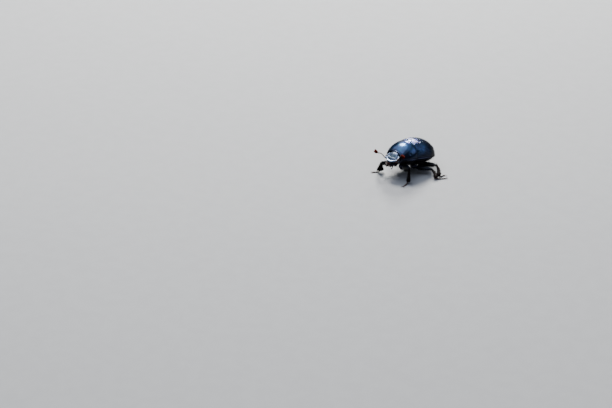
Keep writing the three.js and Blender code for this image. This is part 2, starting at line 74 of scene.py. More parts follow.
PRONOTUM_FRONT = -4.9
PRONOTUM_BACK = 0.0
PRONOTUM_LENGTH = PRONOTUM_BACK - PRONOTUM_FRONT
PRONOTUM_HALF = 4.48
PRONOTUM_WIDEST = 0.78  # share of its length
PRONOTUM_TAPER = 0.595
PRONOTUM_TOP = 9.1
PRONOTUM_DIP = 2.05
PRONOTUM_CORNER = 0.4
PRONOTUM_ENDS = ((0.05, 0.5), (0.04, 0.3))  # radius and hollow of its front and back edges
DIMPLE = ((0.5, 0.22), (1.7, 0.3))  # its share of the length and distance from the side, and widths
LOWER_COLUMNS = 38  # of the pronotum's grid

WINGS_FRONT = 0.07
WINGS_BACK = 9.3
WINGS_HALF = 4.78
WINGS_WIDEST = 0.45
WINGS_RISE = 4.6
WINGS_HIGHEST = 0.25
WINGS_FRONT_SAG = 0.25
SHOULDER = 0.5
SEAM = 0.02  # half the slit between the wing cases
SCUTELLUM_HALF = 0.85
SCUTELLUM_LENGTH = 1.25
SCUTELLUM_THICK = 0.2
WING_BUMPS = (  # height; place and width along the trunk; place and width as shares across
    (0.14, 0.95, 0.75, 0.66, 0.075),  # the shoulder
    (0.08, 7.4, 0.7, 0.55, 0.1),  # over the tail
)
MARGIN_FADE = 3.0  # the margins' violet tone, partly painted shade on the lower sides, ends this far over their edge
TAIL_PAINTED_SHADE = (3.0, 7.5)  # y where painted shade begins on the wing cases towards the tail and where it is full

BELLY_Z = 2.0
BELLY_INSET = 0.45
BELLY_DROP = 0.1
WAIST_PINCH = (0.7, 0.8)
THROAT = (-4.6, 3.7)  # y and lowest z
WAIST = (-0.04, 0.03)
CHEST_BACK = 3.4
TAIL = (8.8, 3.5)
SIDE_SEAMS = {"prothorax": 2.6, "chest": 3.0}  # from the middle
STERNITES = 6
ROUNDNESS = {
    "pronotum": 2.15, "prothorax": 1.8, "belly": 2.1, "wings": 2.2, "head": 2.6, "lip": 3.2, "chin": 2.4,
}
CROWDING = {"wings": 1.6, "abdomen": 1.4}

NECK = Vector((0, -4.8, 5.5))
HEAD_DROOP = math.radians(23)
HEAD_BACK = 0.6
HEAD_LENGTH = 2.65
HEAD_NECK_HALF = 1.85
HEAD_HALF = 2.3
HEAD_RISE = (1.2, 0.28)  # at the neck and at the clypeus edge
HEAD_DROP = (1.15, 0.25)
CHEEKS = (0.32, 0.78)
CLYPEUS_HALF = 1.5
CLYPEUS_FROM = 0.5
HEAD_SHARES = np.linspace(0, 1, 120) ** 1.4  # of its length, closer towards the mouth
HEAD_SEAM = 0.56  # shares of its length
TUBERCLE = 0.6
HEAD_HOLLOWS = (0.75, 0.4)  # x, and a share of its length
EYE = Vector((2.05, -1.05, 0.12))
EYE_RADII = (0.5, 0.62, 0.6)
CHEEK_BAR = (EYE.x + 0.15, EYE.y - 0.22, EYE.z + 0.02)
CHEEK_BAR_RADII = (0.42, 0.62, 0.085)

ANTENNAE = {  # the stalk's route, and then the club's tip
    "left": (
        (1.7, -1.8, -0.25), (2.35, -1.75, 0.4), (2.95, -1.35, 1.4), (3.85, -0.75, 2.6), (4.78, -0.85, 1.85),
    ),
    "right": (
        (-1.7, -1.8, -0.25), (-2.9, -1.65, 0.1), (-3.8, -1.75, 0.94), (-4.5, -2.3, 1.3), (-5.33, -2.45, 1.9),
    ),
}
LEAF_RADII = (0.38, 0.64, 0.12)  # broad, long and thin
LEAF_FAN = 0.2
JAW_OUTER = ((1.35, -1.75), (1.65, -2.65), (1.62, -3.5), (0.14, -3.74))  # Bezier points
JAW_INNER = ((0.45, -1.75), (0.5, -2.6), (0.75, -3.25), (0.1, -3.62))
JAW_MIDDLE_Z = -0.72
JAW_THICKNESS = ((0, 0.27), (0.55, 0.24), (0.85, 0.17), (1, 0.05))
JAW_BROWNS = (-2.7, -3.6)  # y where the jaws begin to turn brown and where they have done so
LIP_Y = (-2.1, -3.1)
LIP_Z = -0.2
LIP_HALF = 0.98
LIP_THICK = 0.15
CHIN_Y = (-0.7, -2.55)
CHIN_Z = -1.02
CHIN_HALF = 0.85
PALPS = (  # the route, the joints' ends as shares of it, and their radii
    (
        ((0.75, -2.3, -1.3), (1.0, -2.9, -1.6), (0.95, -3.4, -1.75)),
        (0, 0.2, 0.45, 0.68, 1.0), (0.12, 0.13, 0.13, 0.14),
    ),
    (
        ((0.3, -2.3, -1.25), (0.42, -2.7, -1.5), (0.4, -3.0, -1.6)),
        (0, 0.3, 0.62, 1.0), (0.08, 0.09, 0.09),
    ),
)
STALK_CUTS = (0, 0.36, 0.46, 0.56, 0.65, 0.74, 0.83, 0.92, 1.0)
STALK_GIRTHS = (0.17, 0.16, 0.125, 0.12, 0.12, 0.125, 0.13, 0.14)
JOINT_RINGS = ((0.12, 0.8), (0.65, 1.0), (0.9, 0.92), (1.0, 0.6))  # of each joint, after its waist

LEGS = {  # hip in the level trunk; knee, ankle and the toe's x and y over the floor
    "fore_left": ((1.5, -3.3, 2.5), (5.4, -4.55, 4.0), (6.2, -5.96, 0.6), (6.87, -8.96)),
    "fore_right": ((-1.5, -3.3, 2.5), (-3.2, -7.0, 3.8), (-4.4, -6.04, 0.6), (-6.23, -8.43)),
    "mid_left": ((2.1, 0.65, 1.7), (6.72, 3.1, 1.6), (10.12, 1.31, 0.6), (12.09, 4.25)),
    "mid_right": ((-2.1, 0.65, 2.15), (-6.6, 1.2, 3.6), (-8.2, 2.9, 0.6), (-9.3, 5.6)),
    "hind_left": ((2.2, 3.3, 2.0), (6.75, 5.1, 2.15), (9.82, 2.78, 0.6), (10.3, 5.5)),
    "hind_right": ((-2.2, 3.3, 2.3), (-6.2, 5.6, 3.4), (-7.8, 8.9, 0.6), (-8.9, 11.8)),
}
PAIRS = {  # bow is how far a shin bends outwards, flatness its thin radius over its broad one
    "fore": dict(coxa=(1.0, 0.95, 1.1), femur=0.9, tibia=0.72, flatness=0.5, bow=0.1, teeth=7, spurs=1),
    "mid": dict(coxa=(1.1, 0.75, 0.85), femur=0.78, tibia=0.5, flatness=0.75, bow=0.3, teeth=0, spurs=2),
    "hind": dict(coxa=(1.5, 0.65, 0.8), femur=0.74, tibia=0.54, flatness=0.75, bow=0.3, teeth=0, spurs=2),
}
COXA_RISE = 0.2  # a coxa's middle stands this far over the hip
THIGH_FROM = 0.14  # shares of the way from hip to knee
TROCHANTER = 0.15
FEMUR_RINGS = ((0, 0.5), (0.08, 0.82), (0.35, 1), (0.7, 0.84), (0.92, 0.58), (1.0, 0.46), (1.04, 0.3))
TIBIA_RINGS = ((-0.05, 0.3), (0, 0.54), (0.12, 0.58), (0.35, 0.68), (0.6, 0.82), (0.94, 1), (1, 0.84))
FEMUR_FLATNESS = 0.6
TEETH_PLACES = (0.3, 0.95)  # shares of a fore shin
TEETH_REACH = (0.24, 0.62)
SHIN_RIDGES = (0.36, 0.58, 0.8)  # shares of a middle or hind shin that have a cross ridge
TARSUS_CUTS = (0, 0.25, 0.42, 0.57, 0.72, 1.0)
TARSUS_GIRTHS = (0.165, 0.165, 0.165, 0.16, 0.14)
SOLE_Z = 0.17  # middle line of the foot joints
CLAW_LENGTH = 0.8
CLAW_SPREAD = 0.42
CLAW_TIP_Z = 0.04
CLAW_TAPER = ((0, 0.09), (0.5, 0.07), (1, 0.012))
SPURS_AT = 0.94  # share of a shin
SPUR_LENGTHS = (0.8, 0.65)
SPUR_RADIUS = 0.085
SPUR_GAP = 0.3
SPUR_ANGLE = 0.3  # from the shin, in radians
CROWN_AT = 0.965
CROWN_SPINES = 11
CROWN_LENGTHS = (0.2, 0.32)
RIDGE_SPINES = 7
RIDGE_LENGTHS = (0.16, 0.24)
SPIKE_FLOOR = 0.05  # spikes end this far over the floor
BRISTLE_FLOOR = 0.01  # and bristles that would reach it bend along it
BRISTLE_CURL = 0.15  # of their length
PATCH = 0.003  # of the bake map, for each bristle


# ---------------------------------------------------------------- numbers and places

def mix(start, end, share):
    return start + (end - start) * share


def powered(value, power):
    return np.sign(value) * np.abs(value) ** power


def bow(share, across, up):
    """A superellipse's height at a share of its reach: 1 in the middle and 0 at the end."""
    return np.maximum(0, 1 - np.abs(share) ** across) ** (1 / up)


def circle(count):
    return np.linspace(0, 2 * math.pi, count, endpoint=False)


def hump(distance, width):
    """A smooth rise of height 1, about twice its width across."""
    return np.exp(-((distance / width) ** 2))


def mound(along, across):
    """A round rise of height 1, about 2 across."""
    return np.exp(-(along**2 + across**2))


def nearer(first, second, blend):
    """The smaller of two distances, with a rounded change from one to the other."""
    return -blend * np.log(np.exp(-first / blend) + np.exp(-second / blend))


def eased(low, high, value):
    """0 below low, 1 above high, and a smooth change between."""
    share = np.clip((value - low) / (high - low), 0, 1)
    return share * share * (3 - 2 * share)


def bunched(count):
    """Shares from 0 to 1 that lie closer together towards both ends."""
    even = np.linspace(0, 1, count)
    return even - 0.75 * np.sin(2 * math.pi * even) / (2 * math.pi)


def crowded(share, power):
    """Shares from 0 to 1 that lie closer together towards 1."""
    return 1 - (1 - share) ** power


def through(knots, at):
    """A smooth curve through (share, value) knots, read at an array of shares."""
    share, value = np.array(knots, float).T
    slope = np.gradient(value, share)
    i = np.clip(np.searchsorted(share, at) - 1, 0, len(share) - 2)
    step = share[i + 1] - share[i]
    t = np.clip((at - share[i]) / step, 0, 1)
    start = (1 + 2 * t) * (1 - t) ** 2 * value[i] + t * (1 - t) ** 2 * step * slope[i]
    end = t * t * (3 - 2 * t) * value[i + 1] + t * t * (t - 1) * step * slope[i + 1]
    return start + end


def route(points, steps):
    """A smooth line of that many points through the given ones."""
    points = np.array(points, float)
    reach = np.concatenate([[0], np.cumsum(np.linalg.norm(np.diff(points, axis=0), axis=1))])
    at = np.linspace(0, reach[-1], steps)
    return np.stack([through(np.stack([reach, column], 1), at) for column in points.T], 1)


def bezier(points, shares):
    """Points of a cubic Bezier curve at those shares of it."""
    first, second, third, last = np.asarray(points, float)
    at = np.asarray(shares, float)[:, None]
    left = 1 - at
    return left**3 * first + 3 * left**2 * at * second + 3 * left * at**2 * third + at**3 * last


def unit(vectors):
    length = np.linalg.norm(vectors, axis=-1, keepdims=True)
    return vectors / np.maximum(length, 1e-9)


def squared(way, axis):
    """The unit direction nearest to way that is square to an axis."""
    return unit(way - (way @ axis) * axis)


def mirrored(points, sign):
    """The points with x times a side's sign."""
    return np.asarray(points, float) * (sign, 1, 1)


def placed(matrix, points):
    turn = np.array(matrix)
    return np.asarray(points, float) @ turn[:3, :3].T + turn[:3, 3]


def eye_middle():
    corners = [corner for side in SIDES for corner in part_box("eye_" + side)]
    return sum(corners, Vector()) / len(corners) / MM


STANCE = Matrix.Translation(PIVOT) @ Matrix.Rotation(-PITCH, 4, "X") @ Matrix.Translation(-PIVOT)
HEAD_STANCE = STANCE @ Matrix.Translation(NECK) @ Matrix.Rotation(HEAD_DROOP, 4, "X")
OFFSET = eye_middle() - HEAD_STANCE @ Vector((0, EYE.y, EYE.z))  # of the frame's origin
SHIFT = Matrix.Translation(OFFSET)
TRUNK = SHIFT @ STANCE
HEAD = SHIFT @ HEAD_STANCE


# ---------------------------------------------------------------- meshes

class Shape:
    """The points and faces of one piece, gathered shell by shell, in millimetres."""

    def __init__(self):
        self.points = []
        self.quads = []
        self.triangles = []
        self.tints = []
        self.count = 0

    def add(self, points, quads, triangles, tint=0.0):
        """Adds a shell. tint is 0 to 1 and is read by the piece's material."""
        points = np.asarray(points, float).reshape(-1, 3)
        self.points.append(points)
        self.quads.append(np.asarray(quads, int).reshape(-1, 4) + self.count)
        self.triangles.append(np.asarray(triangles, int).reshape(-1, 3) + self.count)
        self.tints.append(np.broadcast_to(np.asarray(tint, float).ravel(), (len(points),)))
        self.count += len(points)

    def tube(self, grid, tint=0.0):
        """Adds a grid whose columns run round it, closed at both ends."""
        rows, columns = grid.shape[:2]
        cells = np.arange(rows * columns).reshape(rows, columns)
        nearer, further = cells[:-1], cells[1:]
        quads = np.stack([nearer, np.roll(nearer, -1, 1), np.roll(further, -1, 1), further], -1)
        start, end = rows * columns, rows * columns + 1
        first, last = cells[0], cells[-1]
        caps = [
            np.stack([np.full(columns, start), np.roll(first, -1), first], -1),
            np.stack([np.full(columns, end), last, np.roll(last, -1)], -1),
        ]
        points = np.concatenate([grid.reshape(-1, 3), [grid[0].mean(0), grid[-1].mean(0)]])
        quads, caps = quads.reshape(-1, 4), np.concatenate(caps)
        if volume(points, quads, caps) < 0:
            quads, caps = quads[:, ::-1], caps[:, ::-1]
        if np.ndim(tint):
            tint = np.concatenate([np.ravel(tint), np.mean(tint, axis=1)[[0, -1]]])
        self.add(points, quads, caps, tint)

    def plate(self, top, depth):
        """Adds a sheet of points thickened by depth (a vector) and closed round its border."""
        rows, columns = top.shape[:2]
        cells = np.arange(rows * columns).reshape(rows, columns)
        corners = [cells[:-1, :-1], cells[:-1, 1:], cells[1:, 1:], cells[1:, :-1]]
        sheet = np.stack(corners, -1).reshape(-1, 4)
        rim = np.concatenate([cells[0], cells[1:, -1], cells[-1, -2::-1], cells[-2:0:-1, 0]])
        below = rows * columns
        wall = np.stack([rim, rim + below, np.roll(rim, -1) + below, np.roll(rim, -1)], -1)
        points = np.concatenate([top.reshape(-1, 3), top.reshape(-1, 3) + depth])
        quads = np.concatenate([sheet, sheet[:, ::-1] + below, wall])
        none = np.empty((0, 3), int)
        if volume(points, quads, none) < 0:
            quads = quads[:, ::-1]
        self.add(points, quads, none)

    def mesh(self, name):
        points = np.concatenate(self.points) * MM
        quads = np.concatenate(self.quads)
        triangles = np.concatenate(self.triangles)
        corners = np.concatenate([quads.ravel(), triangles.ravel()])
        sizes = np.concatenate([np.full(len(quads), 4), np.full(len(triangles), 3)])
        made = bpy.data.meshes.new(name)
        made.vertices.add(len(points))
        made.vertices.foreach_set("co", points.ravel())
        made.loops.add(len(corners))
        made.loops.foreach_set("vertex_index", corners)
        made.polygons.add(len(sizes))
        made.polygons.foreach_set("loop_start", np.concatenate([[0], np.cumsum(sizes)[:-1]]))
        made.update(calc_edges=True)
        made.polygons.foreach_set("use_smooth", np.ones(len(sizes), bool))
        tint = made.attributes.new(TINT, "FLOAT", "POINT")
        tint.data.foreach_set("value", np.concatenate(self.tints))
        return made


def volume(points, quads, triangles):
    """Six times the signed volume inside closed faces."""
    points = points - points.mean(0)
    faces = np.concatenate([quads[:, [0, 1, 2]], quads[:, [0, 2, 3]], triangles])
    a, b, c = (points[faces[:, i]] for i in range(3))
    return np.einsum("ij,ij->", a, np.cross(b, c))


def added(name, data, place=Matrix.Identity(4)):
    """A new object of the scene with that data, at that place."""
    made = bpy.data.objects.new(name, data)
    made.matrix_world = place
    bpy.context.scene.collection.objects.link(made)
    return made


def piece(name, mesh, kind, slot, *nodes):
    """Makes an object of a mesh with that kind of finish and ties it to the frame."""
    made = added(name, mesh)
    mesh.materials.append(finish_of(kind))
    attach(made, ROOT)
    if nodes:
        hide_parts(*nodes)


def tubes(name, grids, kind, slot, *nodes):
    """Makes one piece of closed tubes; each comes as a grid, or as a grid and its tint."""
    shape = Shape()
    for grid in grids:
        shape.tube(*(grid if isinstance(grid, tuple) else (grid,)))
    piece(name, shape.mesh(name), kind, slot, *nodes)


def normals(grid, wrap=True):
    """Unit normals of a grid of points, away from its middle line."""
    along = np.gradient(grid, axis=0)
    around = (np.roll(grid, -1, 1) - np.roll(grid, 1, 1)) / 2 if wrap else np.gradient(grid, axis=1)
    made = unit(np.cross(along, around))
    outward = grid - grid.mean(axis=1, keepdims=True)
    return made if np.sum(made * outward) > 0 else -made


def raised(grid, height, wrap=True):
    """The grid moved out of its own surface by a height for each point."""
    return grid + normals(grid, wrap) * height[..., None]


def drawn(ring, shares, angles, power, warp=None):
    """A grid along the trunk or head: ring(share) gives y, z, half width, rise and drop."""
    y, z, half, rise, drop = (np.broadcast_to(value, shares.shape)[:, None] for value in ring(shares))
    x = half * powered(np.cos(angles), 2 / power)
    up = powered(np.sin(angles), 2 / power)
    if warp is not None:
        y = y + warp(x, shares[:, None])
    return np.stack(np.broadcast_arrays(x, y, z + up * np.where(up > 0, rise, drop)), -1)


def rounded_end(grid, radius, depth, row):
    """Rows that roll a plate's end (row 0 or -1) inwards and on into a hollow of that depth."""
    edge = grid[row]
    outward = unit(edge - grid[1 if row == 0 else -2])
    inward = unit(edge.mean(0) - edge)
    turn = np.linspace(0, math.pi / 2, 6)[1:, None, None]
    roll = edge + radius * (outward * np.sin(turn) + inward * (1 - np.cos(turn)))
    hollow = roll[-1:] - outward * depth + inward * radius
    rows = np.concatenate([roll, hollow])
    return np.concatenate([rows[::-1], grid]) if row == 0 else np.concatenate([grid, rows])


def loft(path, broad, thin, side, sides, power=2.0, out=None):
    """A grid round a path, with broad radii towards a side and thin ones square to it.

    out(angle) adds to the broad reach, as teeth and ridges do.
    """
    forward = unit(np.gradient(path, axis=0))
    side = np.asarray(side, float)
    across = unit(side - (forward @ side)[:, None] * forward)
    thick = np.cross(forward, across)
    angle = circle(sides)
    wide = np.reshape(broad, (-1, 1)) * powered(np.cos(angle), 2 / power)
    if out is not None:
        wide = wide + out(angle)
    high = np.reshape(thin, (-1, 1)) * powered(np.sin(angle), 2 / power)
    return path[:, None] + across[:, None] * wide[..., None] + thick[:, None] * high[..., None]


def straight(start, end, shares):
    return np.asarray(start) + np.outer(shares, np.asarray(end) - np.asarray(start))


def ball(centre, radii, sides=32, rows=20, turn=Matrix.Identity(3)):
    """A grid round an ellipsoid, which may be turned about its centre."""
    latitude = np.linspace(0.04, math.pi - 0.04, rows)[:, None]
    longitude = circle(sides)
    flat = np.sin(latitude)
    grid = np.stack(np.broadcast_arrays(
        radii[0] * flat * np.cos(longitude), -radii[1] * np.cos(latitude), radii[2] * flat * np.sin(longitude)
    ), -1)
    return grid @ np.array(turn).T + np.asarray(centre)


def spine(foot, way, length, radius, bend=(0, 0, 0), sides=6):
    """A grid round a tapered, slightly bent spine that ends over the floor."""
    way = unit(np.asarray(way, float))
    fall = -(way + bend)[2]
    length = min(length, (foot[2] - SPIKE_FLOOR) / fall) if fall > 0 else length
    share = np.linspace(0, 1, 7)
    path = foot + np.outer(share * length, way) + np.outer(share**2 * length, bend)
    taper = radius * (1 - share) ** 0.7 + 0.004
    return loft(path, taper, taper, np.cross(way, (0.31, 0.27, 0.91)), sides)


# ---------------------------------------------------------------- materials

TINT = "tint"  # how far a point has the last tone of its material
SMOOTH = {"interpolation_type": "SMOOTHSTEP"}


def linear(code):
    """An sRGB hex colour as linear RGBA."""
    shares = [int(code[i:i + 2], 16) / 255 for i in (1, 3, 5)]
    return [c / 12.92 if c <= 0.04045 else ((c + 0.055) / 1.055) ** 2.4 for c in shares] + [1.0]


def node(tree, kind, settings=None, **inputs):
    """Adds a node, sets its own settings, and sets or links its inputs.

    _ in an input's name is a space, _ and a number is its place, and a string is an sRGB colour.
    """
    made = tree.nodes.new(kind)
    for name, value in (settings or {}).items():
        setattr(made, name, value)
    for name, value in inputs.items():
        socket = made.inputs[int(name[1:])] if name[1:].isdigit() else made.inputs[name.replace("_", " ")]
        if isinstance(value, bpy.types.NodeSocket):
            tree.links.new(value, socket)
        else:
            socket.default_value = linear(value) if isinstance(value, str) else value
    return made


def surface(name, **settings):
    """A material with a principled surface, its tree and its object coordinates, in metres."""
    made = bpy.data.materials.new(name)
    made.use_nodes = True
    tree = made.node_tree
    shader = tree.nodes["Principled BSDF"]
    for key, value in settings.items():
        shader.inputs[key.replace("_", " ")].default_value = value
    place = node(tree, "ShaderNodeTexCoord").outputs["Object"]
    return made, tree, shader, place


def paint(tree, shader, tone, *layers):
    """Colours a surface: each (share, tone) layer covers what is under it by its share."""
    for share, over in layers:
        tone = node(tree, "ShaderNodeMix", {"data_type": "RGBA"}, _0=share, _6=tone, _7=over).outputs[2]
    tree.links.new(tone, shader.inputs["Base Color"])


def speckle(tree, place, size, low=0.35, high=0.65):
    """A soft cloud pattern of that grain size in mm, from 0 to 1."""
    cloud = node(tree, "ShaderNodeTexNoise", Vector=place, Scale=1 / (size * MM), Detail=3.0)
    return node(tree, "ShaderNodeMapRange", SMOOTH, Value=cloud.outputs[0], _1=low, _2=high).outputs[0]


def pits(tree, place, spacing, width):
    """Round pits that far apart and that wide, in mm: 0 in a pit and 1 between them."""
    cells = node(tree, "ShaderNodeTexVoronoi", Vector=place, Scale=1 / (spacing * MM))
    far = cells.outputs["Distance"]
    share = width / spacing / 2
    return node(tree, "ShaderNodeMapRange", SMOOTH, Value=far, _1=share * 0.4, _2=share).outputs[0]


def relief(tree, shader, layers):
    """Adds bumps to a surface from (height socket, depth in mm, strength) layers."""
    normal = None
    for height, depth, strength in layers:
        made = node(tree, "ShaderNodeBump", Height=height, Distance=depth * MM, Strength=strength)
        if normal is not None:
            tree.links.new(normal, made.inputs["Normal"])
        normal = made.outputs["Normal"]
    tree.links.new(normal, shader.inputs["Normal"])


def cuticle(name, colours, roughness, metallic, coat, layers, **settings):
    """Sclerotised chitin whose thin layers throw back blue, near black elsewhere.

    colours are the dark, bright and teal patches of the body and a last tone laid where the tint is: the
    colour of its edges, which on the upper plates is also painted shade and on the head a painted highlight.
    """
    made, tree, shader, place = surface(
        name, Roughness=roughness, Metallic=metallic, IOR=1.56,
        Coat_Weight=coat, Coat_Roughness=0.12, Coat_IOR=1.5, **settings
    )
    dark, bright, teal, edge = colours
    broad, fine = speckle(tree, place, 2.6), speckle(tree, place, 1.7, 0.52, 0.7)
    tint = node(tree, "ShaderNodeAttribute", {"attribute_name": TINT}).outputs["Fac"]
    paint(tree, shader, dark, (broad, bright), (fine, teal), (tint, edge))
    relief(tree, shader, [
        (pattern(tree, place, *sizes), depth, strength) for pattern, sizes, depth, strength in layers
    ])
    return made


def plate_cuticle():
    """Polished chitin of the upper plates: a hard, wet-looking gloss over blue-black."""
    own = bpy.context.scene.beetle_colours
    # The last tone is the margins' dark violet; over the lower sides and the tail it is also painted shade.
    colours = (own.plate_shade, own.plate_blue, own.plate_teal, "#090818")
    return cuticle("polished_blue_chitin", colours, 0.21, 0.86, 0.2, [
        (pits, (0.2, 0.07), 0.008, 0.35), (speckle, (0.09, 0.3, 0.7), 0.003, 0.3),
    ], Specular_Tint=linear("#66738a"))


def belly_cuticle():
    """Chitin of the underside, closely pitted under the hairs: a duller violet-blue metal sheen."""
    return cuticle("pitted_violet_chitin", ("#07071a", "#0f1130", "#0a1426", "#0b0918"), 0.38, 0.75, 0.0, [
        (pits, (0.14, 0.09), 0.012, 0.6), (speckle, (0.07, 0.3, 0.7), 0.004, 0.4),
    ])


def head_cuticle():
    """Chitin of the head, wrinkled and closely pitted, so that it shines softly, like worn pewter."""
    # The pale last tone is a painted highlight along the raised rim of the cheeks and clypeus.
    return cuticle("rugose_blue_chitin", ("#1a2430", "#28354c", "#1a2d36", "#8a9bb6"), 0.4, 0.85, 0.08, [
        (pits, (0.12, 0.15), 0.014, 0.6), (speckle, (0.12, 0.35, 0.65), 0.008, 0.6),
    ])


def jaw_cuticle():
    """Thick chitin of the jaws and the upper lip: black-blue, worn to a gloss, red-brown at the edges."""
    return cuticle("worn_jaw_chitin", ("#05080e", "#0a121d", "#081016", "#160805"), 0.46, 0.1, 0.0, [
        (pits, (0.2, 0.1), 0.01, 0.5), (speckle, (0.1, 0.35, 0.65), 0.004, 0.4),
    ], Specular_IOR_Level=0.06)


def leg_cuticle():
    """Chitin of the legs: black, pitted, with a little blue where it turns to the light."""
    return cuticle("black_leg_chitin", ("#050609", "#080e19", "#070e11", "#180b08"), 0.36, 0.3, 0.0, [
        (pits, (0.17, 0.09), 0.012, 0.6), (speckle, (0.06, 0.3, 0.7), 0.004, 0.4),
    ], Specular_IOR_Level=0.08)


def shin_cuticle():
    """Chitin of the shins: rough with coarse pits and dust, so nearly matt, and black with red in it."""
    return cuticle("coarse_shin_chitin", ("#050406", "#0d0909", "#08080b", "#1c0b08"), 0.45, 0.0, 0.0, [
        (pits, (0.12, 0.09), 0.014, 0.5), (speckle, (0.05, 0.3, 0.7), 0.004, 0.4),
    ], Specular_IOR_Level=0.004)


def mottled(name, roughness, dark, bright, cloud, grain=None, **settings):
    """A surface that drifts between two tones over cloud mm, with a fine relief of grain mm."""
    made, tree, shader, place = surface(name, Roughness=roughness, **settings)
    paint(tree, shader, dark, (speckle(tree, place, cloud), bright))
    if grain:
        relief(tree, shader, [(speckle(tree, place, grain), 0.003, 0.3)])
    return made


def foot_cuticle():
    """Thin chitin of the foot joints and claws: dark red-brown, as light passes a little way in."""
    return mottled("red_brown_chitin", 0.38, "#140907", "#34140c", 0.3, 0.05, IOR=1.56,
                   Specular_IOR_Level=0.25)


def eye_lens():
    """Clear lenses over black: a hard bead of facets. Real ones are 0.025 mm, drawn 0.06 mm."""
    made, tree, shader, place = surface("eye_facets", Roughness=0.12, IOR=1.5, Specular_IOR_Level=0.35)
    cells = pits(tree, place, 0.06, 0.09)
    paint(tree, shader, "#0c0807", (cells, "#030304"))
    relief(tree, shader, [(cells, 0.003, 0.25)])
    return made


def feeler_cuticle():
    """Slim chitin joints of the feelers: dark chestnut with a soft gloss."""
    return mottled("chestnut_chitin", 0.38, "#1c0c08", "#381a0e", 0.25, 0.04, IOR=1.56,
                   Specular_IOR_Level=0.25)


def club_felt():
    """Short dense hairs on the club's leaves: matt rust red, darker where the felt parts."""
    own = bpy.context.scene.beetle_colours
    made, tree, shader, place = surface("rust_felt", Roughness=0.95, Specular_IOR_Level=0.03)
    cloud = speckle(tree, place, 0.12)
    tint = node(tree, "ShaderNodeAttribute", {"attribute_name": TINT}).outputs["Fac"]
    paint(tree, shader, own.club_shade, (cloud, own.club_rust), (tint, "#160301"))
    relief(tree, shader, [(speckle(tree, place, 0.03), 0.01, 0.5)])
    return made


def bristle_cuticle():
    """Stiff chitin bristles: near black, with a brown glint along them."""
    return mottled("dark_bristle_chitin", 0.5, "#070504", "#170d08", 0.6, IOR=1.5, Specular_IOR_Level=0.08)


def fringe_cuticle():
    """Thinner bristles round the mouth, which light shines through: rust red."""
    return mottled("rust_bristle_chitin", 0.5, "#2a0f06", "#5c240e", 0.6, IOR=1.5, Specular_IOR_Level=0.08)


MAKERS = {
    "plate": plate_cuticle, "belly": belly_cuticle, "head": head_cuticle, "jaw": jaw_cuticle,
    "leg": leg_cuticle, "shin": shin_cuticle, "foot": foot_cuticle, "eye": eye_lens,
    "feeler": feeler_cuticle, "club": club_felt, "bristle": bristle_cuticle, "fringe": fringe_cuticle,
}
_made = {}


def finish_of(kind):
    """A material by its kind, made once."""
    if kind not in _made:
        _made[kind] = MAKERS[kind]()
    return _made[kind]


# ---------------------------------------------------------------- upper plates

def edge_z(y):
    return EDGE_Z - EDGE_FALL * y


def pronotum_ring(s):
    half = PRONOTUM_HALF * np.sqrt(1 - PRONOTUM_TAPER * (1 - s / PRONOTUM_WIDEST) ** 2)
    y = mix(PRONOTUM_FRONT, PRONOTUM_BACK, s)
    top = PRONOTUM_TOP - PRONOTUM_DIP * (1 - s) ** 2.2
    return y, edge_z(y), half, top - edge_z(y), PLATE_LIP


def corners_forward(x, s):
    front_half = pronotum_ring(np.zeros(1))[2][0]
    return -PRONOTUM_CORNER * (1 - s) ** 2 * (x / front_half) ** 2


def pronotum_grid(settings, rows=150, across=230):
    """The chest plate: a dome with a beaded margin, a dimple on each side and a fine middle line."""
    shares = bunched(rows)
    lower = np.linspace(math.pi, 2 * math.pi, LOWER_COLUMNS + 2)[1:-1]
    angles = np.concatenate([np.linspace(0, math.pi, across), lower])
    grid = drawn(pronotum_ring, shares, angles, ROUNDNESS["pronotum"], corners_forward)
    bead = settings.bead_height / MM
    s = shares[:, None]
    turn = np.where(angles < math.pi, np.minimum(angles, math.pi - angles), 0)
    from_side = turn * pronotum_ring(shares)[3][:, None]
    from_end = np.minimum(s, 1 - s) * PRONOTUM_LENGTH + 0 * turn
    edge = nearer(from_side, from_end, 0.08)
    size = mix(0.6, 1.0, eased(-0.2, 0.2, from_end - from_side))
    height = bead * size * (hump(edge - 0.1, 0.08) - 0.9 * hump(edge - 0.32, 0.1))
    (share, length), (side, width) = DIMPLE
    height = height - 0.8 * bead * mound((s - share) * PRONOTUM_LENGTH / length, (from_side - side) / width)
    height = height - 0.25 * bead * hump(grid[..., 0], 0.06) * eased(0.45, 0.75, s)
    grid = raised(grid, np.where(angles < math.pi, height, 0))
    front, back = PRONOTUM_ENDS
    return rounded_end(rounded_end(grid, *front, 0), *back, -1)


def violet_margin_and_painted_shade(grid):
    """Strongest on a plate's side edge, fading to 0 above it: the margins' violet tone, which is also painted
    shade on the lower sides.
    """
    return 0.9 * (1 - eased(0, MARGIN_FADE, grid[..., 2] - edge_z(grid[..., 1])))


def wings_ring(s):
    along = crowded(s, CROWDING["wings"])
    y = mix(WINGS_FRONT, WINGS_BACK, along)
    behind = along > WINGS_WIDEST
    wide = (along - WINGS_WIDEST) / np.where(behind, 1 - WINGS_WIDEST, WINGS_WIDEST)
    high = np.maximum(0, (along - WINGS_HIGHEST) / (1 - WINGS_HIGHEST))
    sag = WINGS_FRONT_SAG * np.maximum(0, 1 - along / WINGS_HIGHEST) ** 2
    half = np.where(behind, WINGS_HALF * bow(wide, 2.4, 2), WINGS_HALF - SHOULDER * np.abs(wide) ** 2.2)
    rise = WINGS_RISE * bow(high, 2.5, 1.9) - sag
    return y, edge_z(y), half, rise, (PLATE_LIP + BELLY_DROP) * bow(wide, 4, 2)


def wings_at(y):
    """The wing cases' ring at a place along the trunk."""
    along = np.clip((y - WINGS_FRONT) / (WINGS_BACK - WINGS_FRONT), 0, 1)
    return wings_ring(crowded(along, 1 / CROWDING["wings"]))


def scutellum_half_at(y):
    share = np.clip((y - WINGS_FRONT - 0.1) / (SCUTELLUM_LENGTH - 0.1), 0, 1)
    return SCUTELLUM_HALF * (1 - share**2) ** 1.15


